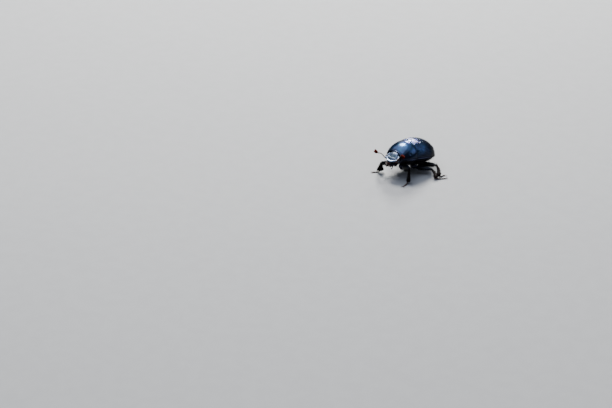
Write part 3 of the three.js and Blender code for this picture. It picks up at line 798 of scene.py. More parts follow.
def wing_grid(side, settings, rows=250, across=165):
    """A wing case: striae with rows of pits, low arched intervals, a shoulder and a tail hump."""
    shares = np.linspace(0, 0.997, rows)
    seam_to_edge = np.linspace(math.pi / 2, 0, across)
    lip = np.linspace(0, -math.pi / 2, 18)[1:]
    angles = np.concatenate([seam_to_edge, lip])
    grid = drawn(wings_ring, shares, angles, ROUNDNESS["wings"])
    y, _, half, rise, _ = (np.broadcast_to(v, shares.shape)[:, None] for v in wings_ring(shares))
    across_share = np.clip(1 - angles / (math.pi / 2), 0, 1)[None, :]
    from_edge = np.maximum(angles, 0) * rise
    # Furrows with pits, which fade at the front, the side edge, the seam and the tail.
    depth = settings.stria_depth / MM
    phase = across_share * (settings.striae + 1)
    line = np.abs(np.sin(math.pi * phase))
    fade = eased(0.0, 0.06, y - WINGS_FRONT) * eased(0.35, 1.4, from_edge) * eased(0.1, 0.5, phase)
    fade = fade * eased(0.0, 1.6, half)
    pit_rows = (0.5 + 0.5 * np.cos(2 * math.pi * y / (settings.pit_spacing / MM))) ** 2
    groove = (line**0.6 - 1) - 0.7 * pit_rows * hump(np.minimum(phase % 1, 1 - phase % 1), 0.13)
    height = depth * groove * fade
    # The shoulder and the tail's hump, the side bead, the seam's bead and its slit.
    for lift, place, length, share, width in WING_BUMPS:
        height = height + lift * mound((y - place) / length, (across_share - share) / width)
    bead = settings.bead_height / MM
    height = height + bead * (hump(from_edge - 0.08, 0.08) - hump(from_edge - 0.3, 0.1)) * eased(0, 1, half)
    seam_distance = np.abs(grid[..., 0])
    height = height + 0.4 * bead * hump(seam_distance - 0.13, 0.07) - 1.2 * bead * hump(seam_distance, 0.035)
    # The bed of the scutellum.
    inset = scutellum_half_at(y) + 0.05 - seam_distance
    behind, inside = (WINGS_FRONT + SCUTELLUM_LENGTH + gap for gap in (0.06, -0.2))
    height = height - 0.1 * eased(-0.03, 0.04, inset) * eased(behind, inside, y)
    grid = raised(grid, np.where(angles >= 0, height, 0), wrap=False)
    grid[..., 0] = side * np.maximum(grid[..., 0], SEAM)
    return grid


def dome_z(x, y):
    """Height of the wing cases' own dome over a place near its crest."""
    _, z, half, rise, _ = wings_at(y)
    power = ROUNDNESS["wings"]
    return z + rise * (1 - np.abs(x / half) ** power) ** (1 / power)


def scutellum_sheet():
    """The small shield between the wing cases' fronts, slightly arched and finely beaded."""
    across = np.linspace(-1, 1, 41)[None, :]
    y = np.linspace(WINGS_FRONT - 0.04, WINGS_FRONT + SCUTELLUM_LENGTH - 0.04, 44)[:, None]
    half = scutellum_half_at(y) - 0.03
    x = across * np.maximum(half, 0.01)
    edge = np.minimum((1 - np.abs(across)) * half, WINGS_FRONT + SCUTELLUM_LENGTH - y)
    lift = 0.012 - 0.06 * hump(edge, 0.04)
    y = y + 0 * x
    return np.stack([x, y, dome_z(x, y) + lift], -1)


def build_pronotum(settings):
    grid = pronotum_grid(settings)
    # The pronotum's lower sides get the margins' violet, which is also painted shade.
    tubes("pronotum_plate", [(placed(TRUNK, grid), violet_margin_and_painted_shade(grid))], "plate", "shell", "pronotum")


def build_wing_cases(settings):
    for side, sign in SIDES.items():
        grid = wing_grid(sign, settings)
        # Painted shade: the wing cases darken towards the tail, as well as over their lower sides.
        tint = np.maximum(violet_margin_and_painted_shade(grid), 0.8 * eased(*TAIL_PAINTED_SHADE, grid[..., 1]))
        tubes("wing_case_" + side, [(placed(TRUNK, grid), tint)], "plate", "shell", "elytron_" + side)
    shield = Shape()
    down = np.array(TRUNK.to_3x3() @ Vector((0, 0, -SCUTELLUM_THICK)))
    shield.plate(placed(TRUNK, scutellum_sheet()), down)
    piece("scutellum_shield", shield.mesh("scutellum_shield"), "plate", "shell", "scutellum")


# ---------------------------------------------------------------- underside

def prothorax_ring(s):
    y = mix(THROAT[0], WAIST[0], s)
    z = edge_z(y) - PLATE_LIP
    low = mix(THROAT[1], BELLY_Z + 0.15, bow(1 - s, 2, 1))
    pinch = WAIST_PINCH[0] * s**6
    return y, z, pronotum_ring(s)[2] - BELLY_INSET - pinch, 0.0, z - low - pinch


def chest_ring(s):
    y = mix(WAIST[1], CHEST_BACK, s)
    z = edge_z(y) - PLATE_LIP - BELLY_DROP
    pinch = WAIST_PINCH[1] * (1 - s) ** 5
    return y, z, wings_at(y)[2] - BELLY_INSET - pinch, 0.0, z - BELLY_Z - pinch


def abdomen_ring(s):
    along = crowded(s, CROWDING["abdomen"])
    y = mix(CHEST_BACK, TAIL[0], along)
    z = edge_z(y) - PLATE_LIP - BELLY_DROP
    low = mix(BELLY_Z + BELLY_DROP, TAIL[1], along**2)
    return y, z, wings_at(y)[2] - BELLY_INSET, 0.0, z - low


BELOW = np.concatenate([np.linspace(math.pi, 2 * math.pi, 120), np.linspace(0, math.pi, 8)[1:-1]])


def under_grid(ring, shares, power, height):
    """A form of the underside, with height(distances from the middle) raised on its lower side."""
    grid = drawn(ring, shares, BELOW, power)
    return raised(grid, np.where(BELOW >= math.pi, height(np.abs(grid[..., 0])), 0))


def prothorax_grid():
    """The front of the chest: a keel between the fore hips and a seam to each side plate."""
    seam = SIDE_SEAMS["prothorax"]
    return under_grid(prothorax_ring, np.linspace(0, 1, 70), ROUNDNESS["prothorax"],
                      lambda x: 0.1 * hump(x, 0.35) - 0.05 * hump(x - seam, 0.06))


def chest_grid():
    """The hind chest: a furrow down the middle, a seam to each side plate and a raised middle."""
    seam = SIDE_SEAMS["chest"]
    return under_grid(chest_ring, np.linspace(0, 1, 70), ROUNDNESS["belly"],
                      lambda x: 0.08 * hump(x, 1.1) - 0.08 * hump(x, 0.07) - 0.06 * hump(x - seam, 0.07))


def abdomen_grid():
    """The belly: overlapping rings, each one's hind edge standing over the next."""
    shares = np.linspace(0, 0.995, 150)
    step = crowded(shares, CROWDING["abdomen"])[:, None] * STERNITES % 1
    height = 0.09 * step**2 * (1 - eased(0.93, 1.0, step)) - 0.03
    return under_grid(abdomen_ring, shares, ROUNDNESS["belly"], lambda x: height + 0 * x)


UNDERSIDE = {  # for each solid, its piece, its grid and how many bristles it has
    "prothorax": ("prothorax_plates", prothorax_grid, 900),
    "metathorax": ("metathorax_plates", chest_grid, 1100),
    "abdomen": ("abdomen_rings", abdomen_grid, 1000),
}


def build_underside():
    for solid, (name, form, _) in UNDERSIDE.items():
        grid = form()
        tint = 0.8 * eased(1.0, 4.0, np.abs(grid[..., 0]))
        tubes(name, [(placed(TRUNK, grid), tint)], "belly", "underside", solid)


# ---------------------------------------------------------------- head

def head_ring(s):
    y = mix(-HEAD_LENGTH, HEAD_BACK, s)
    forward = np.maximum(0, -y) / HEAD_LENGTH
    back = mix(HEAD_NECK_HALF, HEAD_HALF, np.minimum(1, forward / CHEEKS[0]))
    cheeks = HEAD_HALF * bow((forward - CHEEKS[0]) / (CHEEKS[1] - CHEEKS[0]), 3, 2)
    snout = CLYPEUS_HALF * bow((forward - CLYPEUS_FROM) / (1.01 - CLYPEUS_FROM), 3, 1.8)
    blend = np.log(np.exp(9 * cheeks) + np.exp(9 * snout)) / 9 - 0.02
    half = np.where(forward < CHEEKS[0], back, blend)
    return y, 0.05, half, mix(*HEAD_RISE, forward**1.3), mix(*HEAD_DROP, forward**2.2)


def head_rim(grid):
    """How far each point is on the raised rim of the cheeks and clypeus, and its mm from their edge."""
    x, y = grid[..., 0], grid[..., 1]
    half = head_ring(HEAD_SHARES)[2][:, None]
    forward = np.maximum(0, -y) / HEAD_LENGTH
    sideways = half - np.abs(x)
    ahead = (1 - forward) * HEAD_LENGTH
    inward = nearer(sideways, ahead, 0.15)
    return hump(inward - 0.12, 0.17) * eased(-0.05, 0.12, forward) * (grid[..., 2] > 0), inward


def head_grid(settings):
    """Cheeks and a rounded clypeus with a raised rim, a bent seam across and a small tubercle."""
    angles = circle(150)
    grid = drawn(head_ring, HEAD_SHARES, angles, ROUNDNESS["head"])
    x, y = grid[..., 0], grid[..., 1]
    forward = np.maximum(0, -y) / HEAD_LENGTH
    above = eased(-0.1, 0.2, np.sin(angles)) + 0 * x
    rim, inward = head_rim(grid)
    seam = hump((forward - HEAD_SEAM + 0.1 * np.abs(x)) * HEAD_LENGTH, 0.07) * (np.abs(x) < 1.7)
    knob = mound(x / 0.17, (forward - TUBERCLE) * HEAD_LENGTH / 0.15)
    side, back = HEAD_HOLLOWS
    hollows = mound((np.abs(x) - side) / 0.5, (forward - back) * HEAD_LENGTH / 0.45)
    bead = settings.bead_height / MM
    carved = 1.7 * bead * rim - 0.6 * bead * hump(inward - 0.42, 0.18) - 0.5 * bead * seam
    return raised(grid, above * (carved + 0.12 * knob - 0.1 * hollows))


def lip_ring(s):
    return mix(*LIP_Y, s), LIP_Z, LIP_HALF * bow(s * 0.93, 4, 2.2), LIP_THICK, LIP_THICK


def lip_grid():
    """The upper lip: a plate with a notch in its front edge and a dent behind it."""
    grid = drawn(lip_ring, np.linspace(0, 1, 30), circle(48), ROUNDNESS["lip"])
    front = eased(-2.55, -3.1, grid[..., 1])
    grid[..., 1] += 0.2 * hump(grid[..., 0], 0.45) * front
    grid[..., 2] -= 0.06 * hump(grid[..., 0], 0.3) * front
    return grid


def chin_ring(s):
    """The chin: a low plate under the mouth that narrows to a round front."""
    taper = bow(s, 3, 2)
    return mix(*CHIN_Y, s), CHIN_Z, CHIN_HALF * taper, 0.1 * taper, mix(0.2, 0.3, s) * taper


def jaw_grid(sign):
    """A broad curved blade with a raised outer edge, blunt where it meets the other."""
    shares = np.linspace(0, 1, 46)
    outer, inner = bezier(JAW_OUTER, shares), bezier(JAW_INNER, shares)
    angles = circle(30)
    across, up = powered(np.cos(angles), 0.8), powered(np.sin(angles), 0.9)
    thick = through(JAW_THICKNESS, shares)
    centre, reach = (outer + inner) / 2, (outer - inner) / 2
    flat = centre[:, None] + reach[:, None] * across[None, :, None]
    ridge = 0.07 * hump(across - 0.72, 0.3) - 0.08 * hump(across + 0.1, 0.4)
    ridge = (up > 0) * ridge * np.sqrt(np.abs(up)) * np.sin(shares * math.pi)[:, None]
    z = JAW_MIDDLE_Z + thick[:, None] * up + ridge
    return np.stack([sign * flat[..., 0], flat[..., 1], z], -1)


def build_head(settings):
    grid = head_grid(settings)
    # The rim's share carries the head's painted highlight.
    capsule = [(placed(HEAD, grid), head_rim(grid)[0])]
    for sign in SIDES.values():
        turn = Matrix.Rotation(math.radians(8 * sign), 3, "Z")
        cheek_bar = ball(mirrored(CHEEK_BAR, sign), CHEEK_BAR_RADII, turn=turn)
        capsule.append(placed(HEAD, cheek_bar))
    tubes("head_capsule", capsule, "head", "shell", "head")
    chin = drawn(chin_ring, crowded(np.linspace(0, 0.98, 24), 1.6), circle(40), ROUNDNESS["chin"])
    tubes("chin_plate", [placed(HEAD, chin)], "belly", "underside")


def build_eyes():
    for side, sign in SIDES.items():
        eye = placed(HEAD, ball(mirrored(EYE, sign), EYE_RADII, 64, 40))
        tubes("eye_bead_" + side, [eye], "eye", "eye", "eye_" + side)


def jointed(points, cuts, girths, waist=0.55, sides=18):
    """Grids of a limb's joints along a route: cuts are their shares of it, girths their radii."""
    path = route(points, 200)
    place = np.linspace(0, 1, len(path))
    shares = np.linspace(0, 1, 14)
    outline = through(((0, waist), *JOINT_RINGS), shares)
    made = []
    for start, end, girth in zip(cuts, cuts[1:], girths):
        at = np.clip(mix(start, end + 0.006, shares), 0, 1)
        line = np.stack([np.interp(at, place, column) for column in path.T], 1)
        made.append(loft(line, girth * outline, girth * outline, (0, 0, 1), sides))
    return made


def club_frame(side):
    """A club's foot, and its broad, long and thin directions, in the head's frame."""
    foot, tip = (Vector(point) for point in ANTENNAE[side][-2:])
    axis = (tip - foot).normalized()
    turned = HEAD_STANCE.to_3x3().inverted() @ Vector((0, -1, 0))
    thin = turned.cross(axis).normalized()
    return foot, Matrix((axis.cross(thin), axis, thin)).transposed()


def build_antennae():
    for side in SIDES:
        stalk = jointed(placed(HEAD, ANTENNAE[side][:-1]), STALK_CUTS, STALK_GIRTHS)
        tubes("antenna_stalk_" + side, stalk, "feeler", "feeler", "antenna_" + side)
        club = []
        foot, turn = club_frame(side)
        for i in (-1, 0, 1):
            lean = Matrix.Rotation(i * LEAF_FAN, 3, "X")
            radii = np.array(LEAF_RADII) * (1 if i else (1.0, 0.92, 0.9))
            leaf = ball((0, radii[1] * 0.98, i * 0.15), radii, 36, 26)
            rim = eased(0.75, 1.0, np.abs(leaf[..., 0]) / radii[0]) * 0.5
            leaf = leaf @ np.array(turn @ lean).T + np.array(foot)
            club.append((placed(HEAD, leaf), rim))
        tubes("club_leaves_" + side, club, "club", "club", "antenna_club_" + side)


def build_mouthparts():
    tubes("labrum_lip", [placed(HEAD, lip_grid())], "jaw", "shell", "labrum")
    for side, sign in SIDES.items():
        grid = jaw_grid(sign)
        jaw = (placed(HEAD, grid), eased(*JAW_BROWNS, grid[..., 1]))
        tubes("jaw_" + side, [jaw], "jaw", "shell", "mandible_" + side)
        palps = []
        for points, cuts, girths in PALPS:
            palps += jointed(placed(HEAD, mirrored(points, sign)), cuts, girths)
        tubes("palps_" + side, palps, "feeler", "feeler", "palp_" + side)


# ---------------------------------------------------------------- legs

class Leg:
    """The joints of a leg, and the directions of its broad sides, in millimetres."""

    def __init__(self, name):
        self.pair = PAIRS[name.split("_")[0]]
        hip, knee, ankle, toe = LEGS[name]
        self.hip = placed(TRUNK, hip)
        self.knee = placed(SHIFT, knee)
        self.ankle = placed(SHIFT, ankle)
        self.claw_tip = placed(SHIFT, (*toe, SOLE_Z))
        self.heading = unit((self.claw_tip - self.ankle) * (1, 1, 0))
        self.toe = self.claw_tip - self.heading * CLAW_LENGTH
        self.outward = self.knee - (self.hip + self.ankle) / 2
        self.thigh_start = mix(self.hip, self.knee, THIGH_FROM)
        self.shin_axis = unit(self.ankle - self.knee)
        self.shin_broad = squared(self.outward, self.shin_axis)

    def shin_line(self, shares):
        """Points along the shin, which bows outwards between its ends."""
        lift = self.pair["bow"] * np.sin(math.pi * np.clip(shares, 0, 1))
        return straight(self.knee, self.ankle, shares) + np.outer(lift, self.shin_broad)

    def foot_route(self):
        near = mix(self.ankle, self.toe, 0.3) * (1, 1, 0) + (0, 0, SOLE_Z + 0.06)
        far = mix(self.ankle, self.toe, 0.6) * (1, 1, 0) + (0, 0, SOLE_Z)
        return [self.ankle, near, far, self.toe]


def coxa_grid(leg):
    """The hip: a rounded cone let into the chest, drawn out towards the thigh."""
    grid = ball((0, 0, COXA_RISE), leg.pair["coxa"], 44, 30)
    grid = placed(Matrix.Translation(Vector(leg.hip)) @ STANCE.to_3x3().to_4x4(), grid)
    way = unit(leg.knee - leg.hip)
    along = (grid - leg.hip) @ way
    ahead = np.clip(along / leg.pair["coxa"][0], 0, 1) ** 1.5
    inward = (grid - leg.hip) - np.multiply.outer(along, way)
    return grid - inward * (0.5 * ahead)[..., None] + way * (0.25 * leg.pair["coxa"][1] * ahead)[..., None]


def femur_grid(leg):
    """The thigh: a flattened spindle with a keeled lower edge."""
    shares = np.linspace(0, 1.02, 60)
    broad = leg.pair["femur"] * through(FEMUR_RINGS, shares)
    path = straight(leg.thigh_start, leg.knee, shares)

    def keel(angle):
        return -0.08 * np.sin(np.clip(shares, 0, 1) * math.pi)[:, None] * hump(angle - math.pi, 0.35)

    return loft(path, broad, broad * FEMUR_FLATNESS, leg.outward, 40, out=keel)


def tibia_out(leg, shares):
    """What stands out of a shin's outer edge: digging teeth on fore legs, cross ridges on others."""
    teeth = leg.pair["teeth"]
    if teeth:
        steps = np.arange(teeth) / (teeth - 1)
        places, reach = mix(*TEETH_PLACES, steps), mix(*TEETH_REACH, steps)
        pitch = places[1] - places[0]
        share = (shares[:, None] - places) / pitch
        lean = np.where(share < 0, 1 + share / 0.62, 1 - share / 0.36)
        profile = np.max(reach * np.clip(lean, 0, 1) ** 1.25, axis=1)
        return lambda angle: profile[:, None] * np.maximum(0, np.cos(angle)) ** 5
    profile = sum(hump(shares - place, 0.022) for place in SHIN_RIDGES)
    return lambda angle: 0.11 * profile[:, None] * np.maximum(0, np.cos(angle)) ** 0.8


def tibia_grid(leg):
    """The shin: a blade that widens to the foot."""
    shares = np.linspace(-0.05, 1, 150)
    broad = leg.pair["tibia"] * through(TIBIA_RINGS, shares)
    thin = broad * leg.pair["flatness"]
    return loft(leg.shin_line(shares), broad, thin, leg.outward, 44, 2.1, tibia_out(leg, shares))


def shin_spikes(leg, rng):
    """Spurs at the shin's end, a crown of short spines round it and a row on each cross ridge."""
    axis, broad = leg.shin_axis, leg.shin_broad
    thin = np.cross(axis, broad)
    size, flat, spurs = (leg.pair[key] for key in ("tibia", "flatness", "spurs"))
    made = []
    for i, length in enumerate(SPUR_LENGTHS[:spurs]):
        across = (i - (spurs - 1) / 2) * SPUR_GAP
        foot = leg.shin_line([SPURS_AT])[0] - broad * size * 0.5 + thin * across
        way = axis * math.cos(SPUR_ANGLE) - broad * math.sin(SPUR_ANGLE)
        made.append((spine(foot, way, length, SPUR_RADIUS, -broad * 0.08, 8), 0.6))
    for angle in circle(CROWN_SPINES):
        around = (broad * math.cos(angle) + thin * math.sin(angle) * flat) * size * 0.82
        foot = leg.shin_line([CROWN_AT])[0] + around
        way = axis + unit(around) * 0.35
        made.append((spine(foot, way, rng.uniform(*CROWN_LENGTHS), 0.035), 0.4))
    for place in () if leg.pair["teeth"] else SHIN_RIDGES:
        reach = size * through(TIBIA_RINGS, np.array([place]))[0]
        for angle in np.linspace(-1.1, 1.1, RIDGE_SPINES):
            around = broad * math.cos(angle) * (reach + 0.08) + thin * math.sin(angle) * reach * flat
            foot = leg.shin_line([place + 0.01])[0] + around
            way = axis + unit(around) * 0.7
            made.append((spine(foot, way, rng.uniform(*RIDGE_LENGTHS), 0.028, sides=5), 0.3))
    return made


def trochanter_grid(leg):
    """The small joint between the hip and the thigh."""
    size = leg.pair["femur"]
    axis = unit(leg.knee - leg.hip)
    broad = squared(leg.outward, axis)
    turn = np.stack([broad, axis, np.cross(broad, axis)], 1)
    return ball(mix(leg.hip, leg.knee, TROCHANTER), (0.5 * size, 0.42, 0.36 * size), 24, 16, turn)


def claw_grid(leg, sign):
    """A hooked claw at the foot's end, to one side."""
    aside = np.cross(leg.heading, (0, 0, 1)) * sign
    tip = leg.claw_tip + aside * CLAW_SPREAD * 0.9
    tip[2] = CLAW_TIP_Z
    rise = mix(leg.toe, tip, 0.5) + aside * 0.1 + (0, 0, 0.1)
    taper = through(CLAW_TAPER, np.linspace(0, 1, 16))
    return loft(route([leg.toe, rise, tip], 16), taper, taper, (0, 0, 1), 10)


def build_legs():
    rng = np.random.default_rng(7)
    for name in LEGS:
        leg = Leg(name)
        foot = jointed(leg.foot_route(), TARSUS_CUTS, TARSUS_GIRTHS, 0.5, 14)
        tubes("hip_" + name, [(coxa_grid(leg), 0.5)], "belly", "underside", "coxa_" + name)
        thigh = [femur_grid(leg), (trochanter_grid(leg), 0.1)]
        tubes("thigh_" + name, thigh, "leg", "leg", "femur_" + name)
        tubes("shin_" + name, [tibia_grid(leg), *shin_spikes(leg, rng)], "shin", "leg", "tibia_" + name)
        tubes("foot_" + name, foot, "foot", "tarsus", "tarsus_" + name)
        tubes("claws_" + name, [claw_grid(leg, sign) for sign in (1, -1)], "foot", "tarsus")


# ---------------------------------------------------------------- bristles

class Coat:
    """Bristles rooted on grids of points, gathered into one piece with a bake map.

    Each host grid has its own strip of the map, laid out as the grid is unrolled.
    """

    def __init__(self, settings, hosts, seed):
        self.length, self.radius = settings.length / MM, settings.radius / MM
        self.density = settings.density
        self.hosts = hosts
        self.strip = 0
        self.rng = np.random.default_rng(seed)
        self.points = []
        self.maps = []

    def grow(self, grid, count, where, size, lean, girth=1.0, lie=1.0, down=0.0, wrap=True):
        """Roots bristles on a grid. where(row share, column share, points) is how thickly they grow.

        size and girth are shares of the longest ones'. lean is how far they lie along the grid's
        rows (1 is flat), and lie the direction along them.
        """
        count = int(count * self.density)
        rows, columns = grid.shape[:2]
        across = columns if wrap else columns - 1
        corner = grid[:-1, :across]
        beside = np.roll(grid, -1, 1)[:-1, :across]
        area = np.linalg.norm(np.cross(grid[1:, :across] - corner, beside - corner), axis=-1)
        row_share = (np.arange(rows - 1) / (rows - 1))[:, None]
        column_share = (np.arange(across) / across)[None, :]
        weight = area * np.maximum(0, where(row_share, column_share, corner))
        cells = self.rng.choice(weight.size, count, p=weight.ravel() / weight.sum())
        row, column = np.divmod(cells, across)
        u, v = self.rng.random((2, count))
        next_column = (column + 1) % columns
        root = sum(grid[r, c] * share[:, None] for r, c, share in (
            (row, column, (1 - u) * (1 - v)), (row, next_column, (1 - u) * v),
            (row + 1, column, u * (1 - v)), (row + 1, next_column, u * v),
        ))
        out = normals(grid, wrap)[row, column]
        along = unit(grid[row + 1, column] - grid[row, column]) * lie
        jitter = self.rng.normal(0, 0.16, (count, 3))
        way = unit(out * (1 - lean) + along * lean + jitter + np.array((0, 0, -down)))
        length = size * self.length * self.rng.uniform(0.6, 1.15, count)
        radius = girth * self.radius * self.rng.uniform(0.7, 1.15, count)
        bend = along * BRISTLE_CURL + self.rng.normal(0, 0.06, (count, 3))
        self.points.append(bristle_points(root - out * radius[:, None], way, length, radius, bend))
        place = np.stack([(row + u) / rows, (self.strip + (column + v) / columns) / self.hosts], 1)
        self.maps.append(np.clip(place, 0, 1 - PATCH))
        self.strip += 1

    def finish(self, name, kind="bristle"):
        points = np.concatenate(self.points)
        points[..., 2] = np.maximum(points[..., 2], BRISTLE_FLOOR)
        count, each = points.shape[:2]
        first = (np.arange(count) * each)[:, None, None]
        quads = (BRISTLE_QUADS + first).reshape(-1, 4)
        triangles = (BRISTLE_TRIANGLES + first).reshape(-1, 3)
        shape = Shape()
        shape.add(points, quads, triangles)
        mesh = shape.mesh(name)
        steps = np.array([(ring / 3, i / 2) for ring in range(3) for i in range(3)] + [(1, 0.5)])
        spots = np.concatenate(self.maps)[:, None] + steps * PATCH
        corners = np.empty(len(mesh.loops), int)
        mesh.loops.foreach_get("vertex_index", corners)
        bake_map = mesh.uv_layers.new(name="OFBake")
        bake_map.data.foreach_set("uv", spots.reshape(-1, 2)[corners].ravel())
        piece(name, mesh, kind, "leg")


BRISTLE_QUADS = np.array([
    (ring * 3 + i, ring * 3 + (i + 1) % 3, ring * 3 + 3 + (i + 1) % 3, ring * 3 + 3 + i)
    for ring in range(2) for i in range(3)
])
BRISTLE_TRIANGLES = np.array([(6 + i, 6 + (i + 1) % 3, 9) for i in range(3)] + [(2, 1, 0)])


def bristle_points(root, way, length, radius, bend):
    """Three rings of three points and a tip, for each bristle."""
    helper = np.where(np.abs(way[:, 2:3]) < 0.8, (0, 0, 1.0), (1.0, 0, 0))
    first = unit(np.cross(way, helper))
    second = np.cross(way, first)
    made = []
    for share, girth in ((0, 1.0), (0.35, 0.85), (0.7, 0.5)):
        centre = root + (way * share + bend * share**2) * length[:, None]
        for i in range(3):
            angle = 2 * math.pi * i / 3
            outward = first * math.cos(angle) + second * math.sin(angle)
            made.append(centre + outward * (radius * girth)[:, None])
    made.append(root + (way + bend) * length[:, None])
    return np.stack(made, 1)


def edges(column):
    """Thickest along a limb's lower edge, and a little on its upper one."""
    return hump(column - 0.5, 0.07) + 0.25 * hump(column, 0.05) + 0.25 * hump(column - 1, 0.05)


def build_leg_bristles(settings):
    for seed, name in enumerate(LEGS):
        leg = Leg(name)
        sole = loft(route(leg.foot_route(), 60), 0.15, 0.15, (0, 0, 1), 16)
        coat = Coat(settings, 4, seed)
        coat.grow(femur_grid(leg), 260, lambda r, c, p: edges(c) * eased(0.05, 0.2, r), 0.6, 0.45)
        coat.grow(tibia_grid(leg), 300, lambda r, c, p: (edges(c) + 0.12) * eased(0.1, 0.3, r), 0.42, 0.6)
        coat.grow(coxa_grid(leg), 110, lambda r, c, p: p[..., 2] < leg.hip[2] + 0.2, 0.5, 0.4)
        coat.grow(sole, 120, lambda r, c, p: 0.3 + hump((r * 5) % 1 - 0.9, 0.15), 0.24, 0.6, 0.8)
        coat.finish("bristles_" + name)


def build_belly_bristles(settings):
    coat = Coat(settings, 3, 21)
    for _, form, count in UNDERSIDE.values():
        grid = placed(TRUNK, form())
        coat.grow(grid, count, lambda r, c, p: (c < 0.94) * (0.25 + 0.75 * hump(c - 0.47, 0.4)), 0.75, 0.62)
    coat.finish("bristles_underside")


def build_margin_bristles(settings, plates):
    coat = Coat(settings, 3, 22)
    across = 120
    edge = across / (across + LOWER_COLUMNS) + 0.012
    coat.grow(
        placed(TRUNK, pronotum_grid(plates, 90, across)), 420,
        lambda r, c, p: (hump(c - edge, 0.006) + hump(c - 0.985, 0.006)) * eased(0.1, 0.2, r) * (r < 0.92),
        0.7, 0.25, down=0.5,
    )
    for sign in SIDES.values():
        wing = placed(TRUNK, wing_grid(sign, plates, 120, 60))
        coat.grow(wing, 260, lambda r, c, p: hump(c - 0.8, 0.02) * (r < 0.93), 0.4, 0.3, down=0.5, wrap=False)
    coat.finish("bristles_margins")


def build_head_bristles(settings, plates):
    coat = Coat(settings, 6, 23)
    coat.grow(placed(HEAD, head_grid(plates)), 260, lambda r, c, p: (c > 0.5) * (r < 0.75), 0.4, 0.5, lie=-1)
    for sign in SIDES.values():
        coat.grow(placed(HEAD, jaw_grid(sign)), 70, lambda r, c, p: (r < 0.6) + 0 * c, 0.38, 0.5, 0.8)
    coat.grow(placed(HEAD, lip_grid()), 90, lambda r, c, p: (r > 0.75) + 0 * c, 0.35, 0.8, 0.8)
    for points in ANTENNAE.values():
        scape = loft(placed(HEAD, route(points[:-1], 40)), 0.13, 0.13, (0, 0, 1), 12)
        coat.grow(scape, 70, lambda r, c, p: 0.2 + (r < 0.36), 0.3, 0.5, 0.7)
    coat.finish("bristles_head", "fringe")


# ---------------------------------------------------------------- stage

CAMERA_TURN = math.radians(43.9)
CAMERA_HEIGHT = math.radians(26.0)
CAMERA_DISTANCE = 0.6
TARGET = Vector((0, 0.8, 4.0)) * MM
FRAME_WIDTH = 0.1744  # metres of the scene across the picture at the beetle
ASIDE = (0.02928, 0.01351)  # the beetle stands this far right of and above the picture's middle
FLOOR_HALF = 3.0


def add_camera():
    """A long lens, a little above the beetle and off its left shoulder."""
    lens = bpy.data.cameras.new("camera")
    lens.sensor_width = 36
    lens.lens = lens.sensor_width * CAMERA_DISTANCE / FRAME_WIDTH
    lens.clip_start, lens.clip_end = 0.01, 20
    back = Vector((
        math.sin(CAMERA_TURN) * math.cos(CAMERA_HEIGHT),
        -math.cos(CAMERA_TURN) * math.cos(CAMERA_HEIGHT),
        math.sin(CAMERA_HEIGHT),
    ))
    right = Vector((math.cos(CAMERA_TURN), math.sin(CAMERA_TURN), 0))
    up = back.cross(right)
    beetle = TARGET + OFFSET * MM
    place = beetle + back * CAMERA_DISTANCE
    aim = beetle - right * ASIDE[0] - up * ASIDE[1]
    backward = (place - aim).normalized()
    rightward = up.cross(backward).normalized()
    turn = Matrix((rightward, backward.cross(rightward), backward)).transposed()
    bpy.context.scene.camera = added("camera", lens, Matrix.Translation(place) @ turn.to_4x4())


SOFTBOXES = {  # the way to each, metres to it and across it, its radiance and its colour
    "key": ((-0.57, 0.29, 0.77), 0.6, 0.18, 145.0, "#fffaf2"),
    "sky": ((-0.42, -0.03, 0.90), 0.6, 0.62, 4.8, "#e6eeff"),
    "sky_skirt": ((-0.26, 0.03, 0.96), 0.6, 1.0, 1.6, "#dce9ff"),
    "crest": ((-0.52, 0.69, 0.48), 0.6, 0.15, 200.0, "#fffff8"),
    "crest_skirt": ((-0.66, 0.62, 0.42), 0.6, 0.34, 4.0, "#e6eeff"),
    "rear": ((0.6, 0.62, 0.5), 0.7, 0.34, 2.2, "#cfd8ff"),
    "rear_skirt": ((0.55, 0.6, 0.58), 0.7, 0.6, 1.2, "#cfd8ff"),
}


def add_softbox(name, brightness, way, distance, size, radiance, colour):
    """A round soft light that faces the beetle from a direction."""
    light = bpy.data.lights.new(name, "AREA")
    light.shape = "DISK"
    light.size = size
    light.energy = radiance * brightness * math.pi**2 * size**2 / 4
    light.color = linear(colour)[:3]
    way = Vector(way).normalized()
    turn = way.to_track_quat("Z", "Y").to_matrix().to_4x4()
    added(name, light, Matrix.Translation(way * distance) @ turn)


def backdrop_paper():
    """Matt grey paper, a little cloudy, which dims and blurs what it throws back at the beetle."""
    return mottled("matt_backdrop_paper", 0.9, "#68696a", "#6a6b6c", 4.0)


def build_stage(settings):
    add_camera()
    for name, box in SOFTBOXES.items():
        add_softbox(name + "_softbox", settings.brightness, *box)
    world = bpy.data.worlds.new("studio")
    bpy.context.scene.world = world
    world.use_nodes = True
    sky = world.node_tree.nodes["Background"]
    sky.inputs["Color"].default_value = linear("#dfe6ee")
    sky.inputs["Strength"].default_value = settings.room_light
    corners = [(x * FLOOR_HALF, y * FLOOR_HALF, 0) for x, y in ((-1, -1), (1, -1), (1, 1), (-1, 1))]
    mesh = bpy.data.meshes.new("floor")
    mesh.from_pydata(corners, [], [(0, 1, 2, 3)])
    mesh.materials.append(backdrop_paper())
    floor = added("floor", mesh)


# ---------------------------------------------------------------- settings, operators and panel

class BEETLE_PG_plates(PropertyGroup):
    bead_height: FloatProperty(
        name="Bead height", description="Height of the rolled margins of the plates",
        default=0.00007, min=0, unit="LENGTH", precision=6)
    stria_depth: FloatProperty(
        name="Stria depth", description="Depth of the furrows along the wing cases",
        default=0.000038, min=0, unit="LENGTH", precision=6)
    striae: IntProperty(
        name="Striae", description="Furrows from the seam to the side edge of a wing case", default=14, min=1)
    pit_spacing: FloatProperty(
        name="Pit spacing", description="Distance between the pits along a furrow",
        default=0.00028, min=0.00005, unit="LENGTH", precision=6)


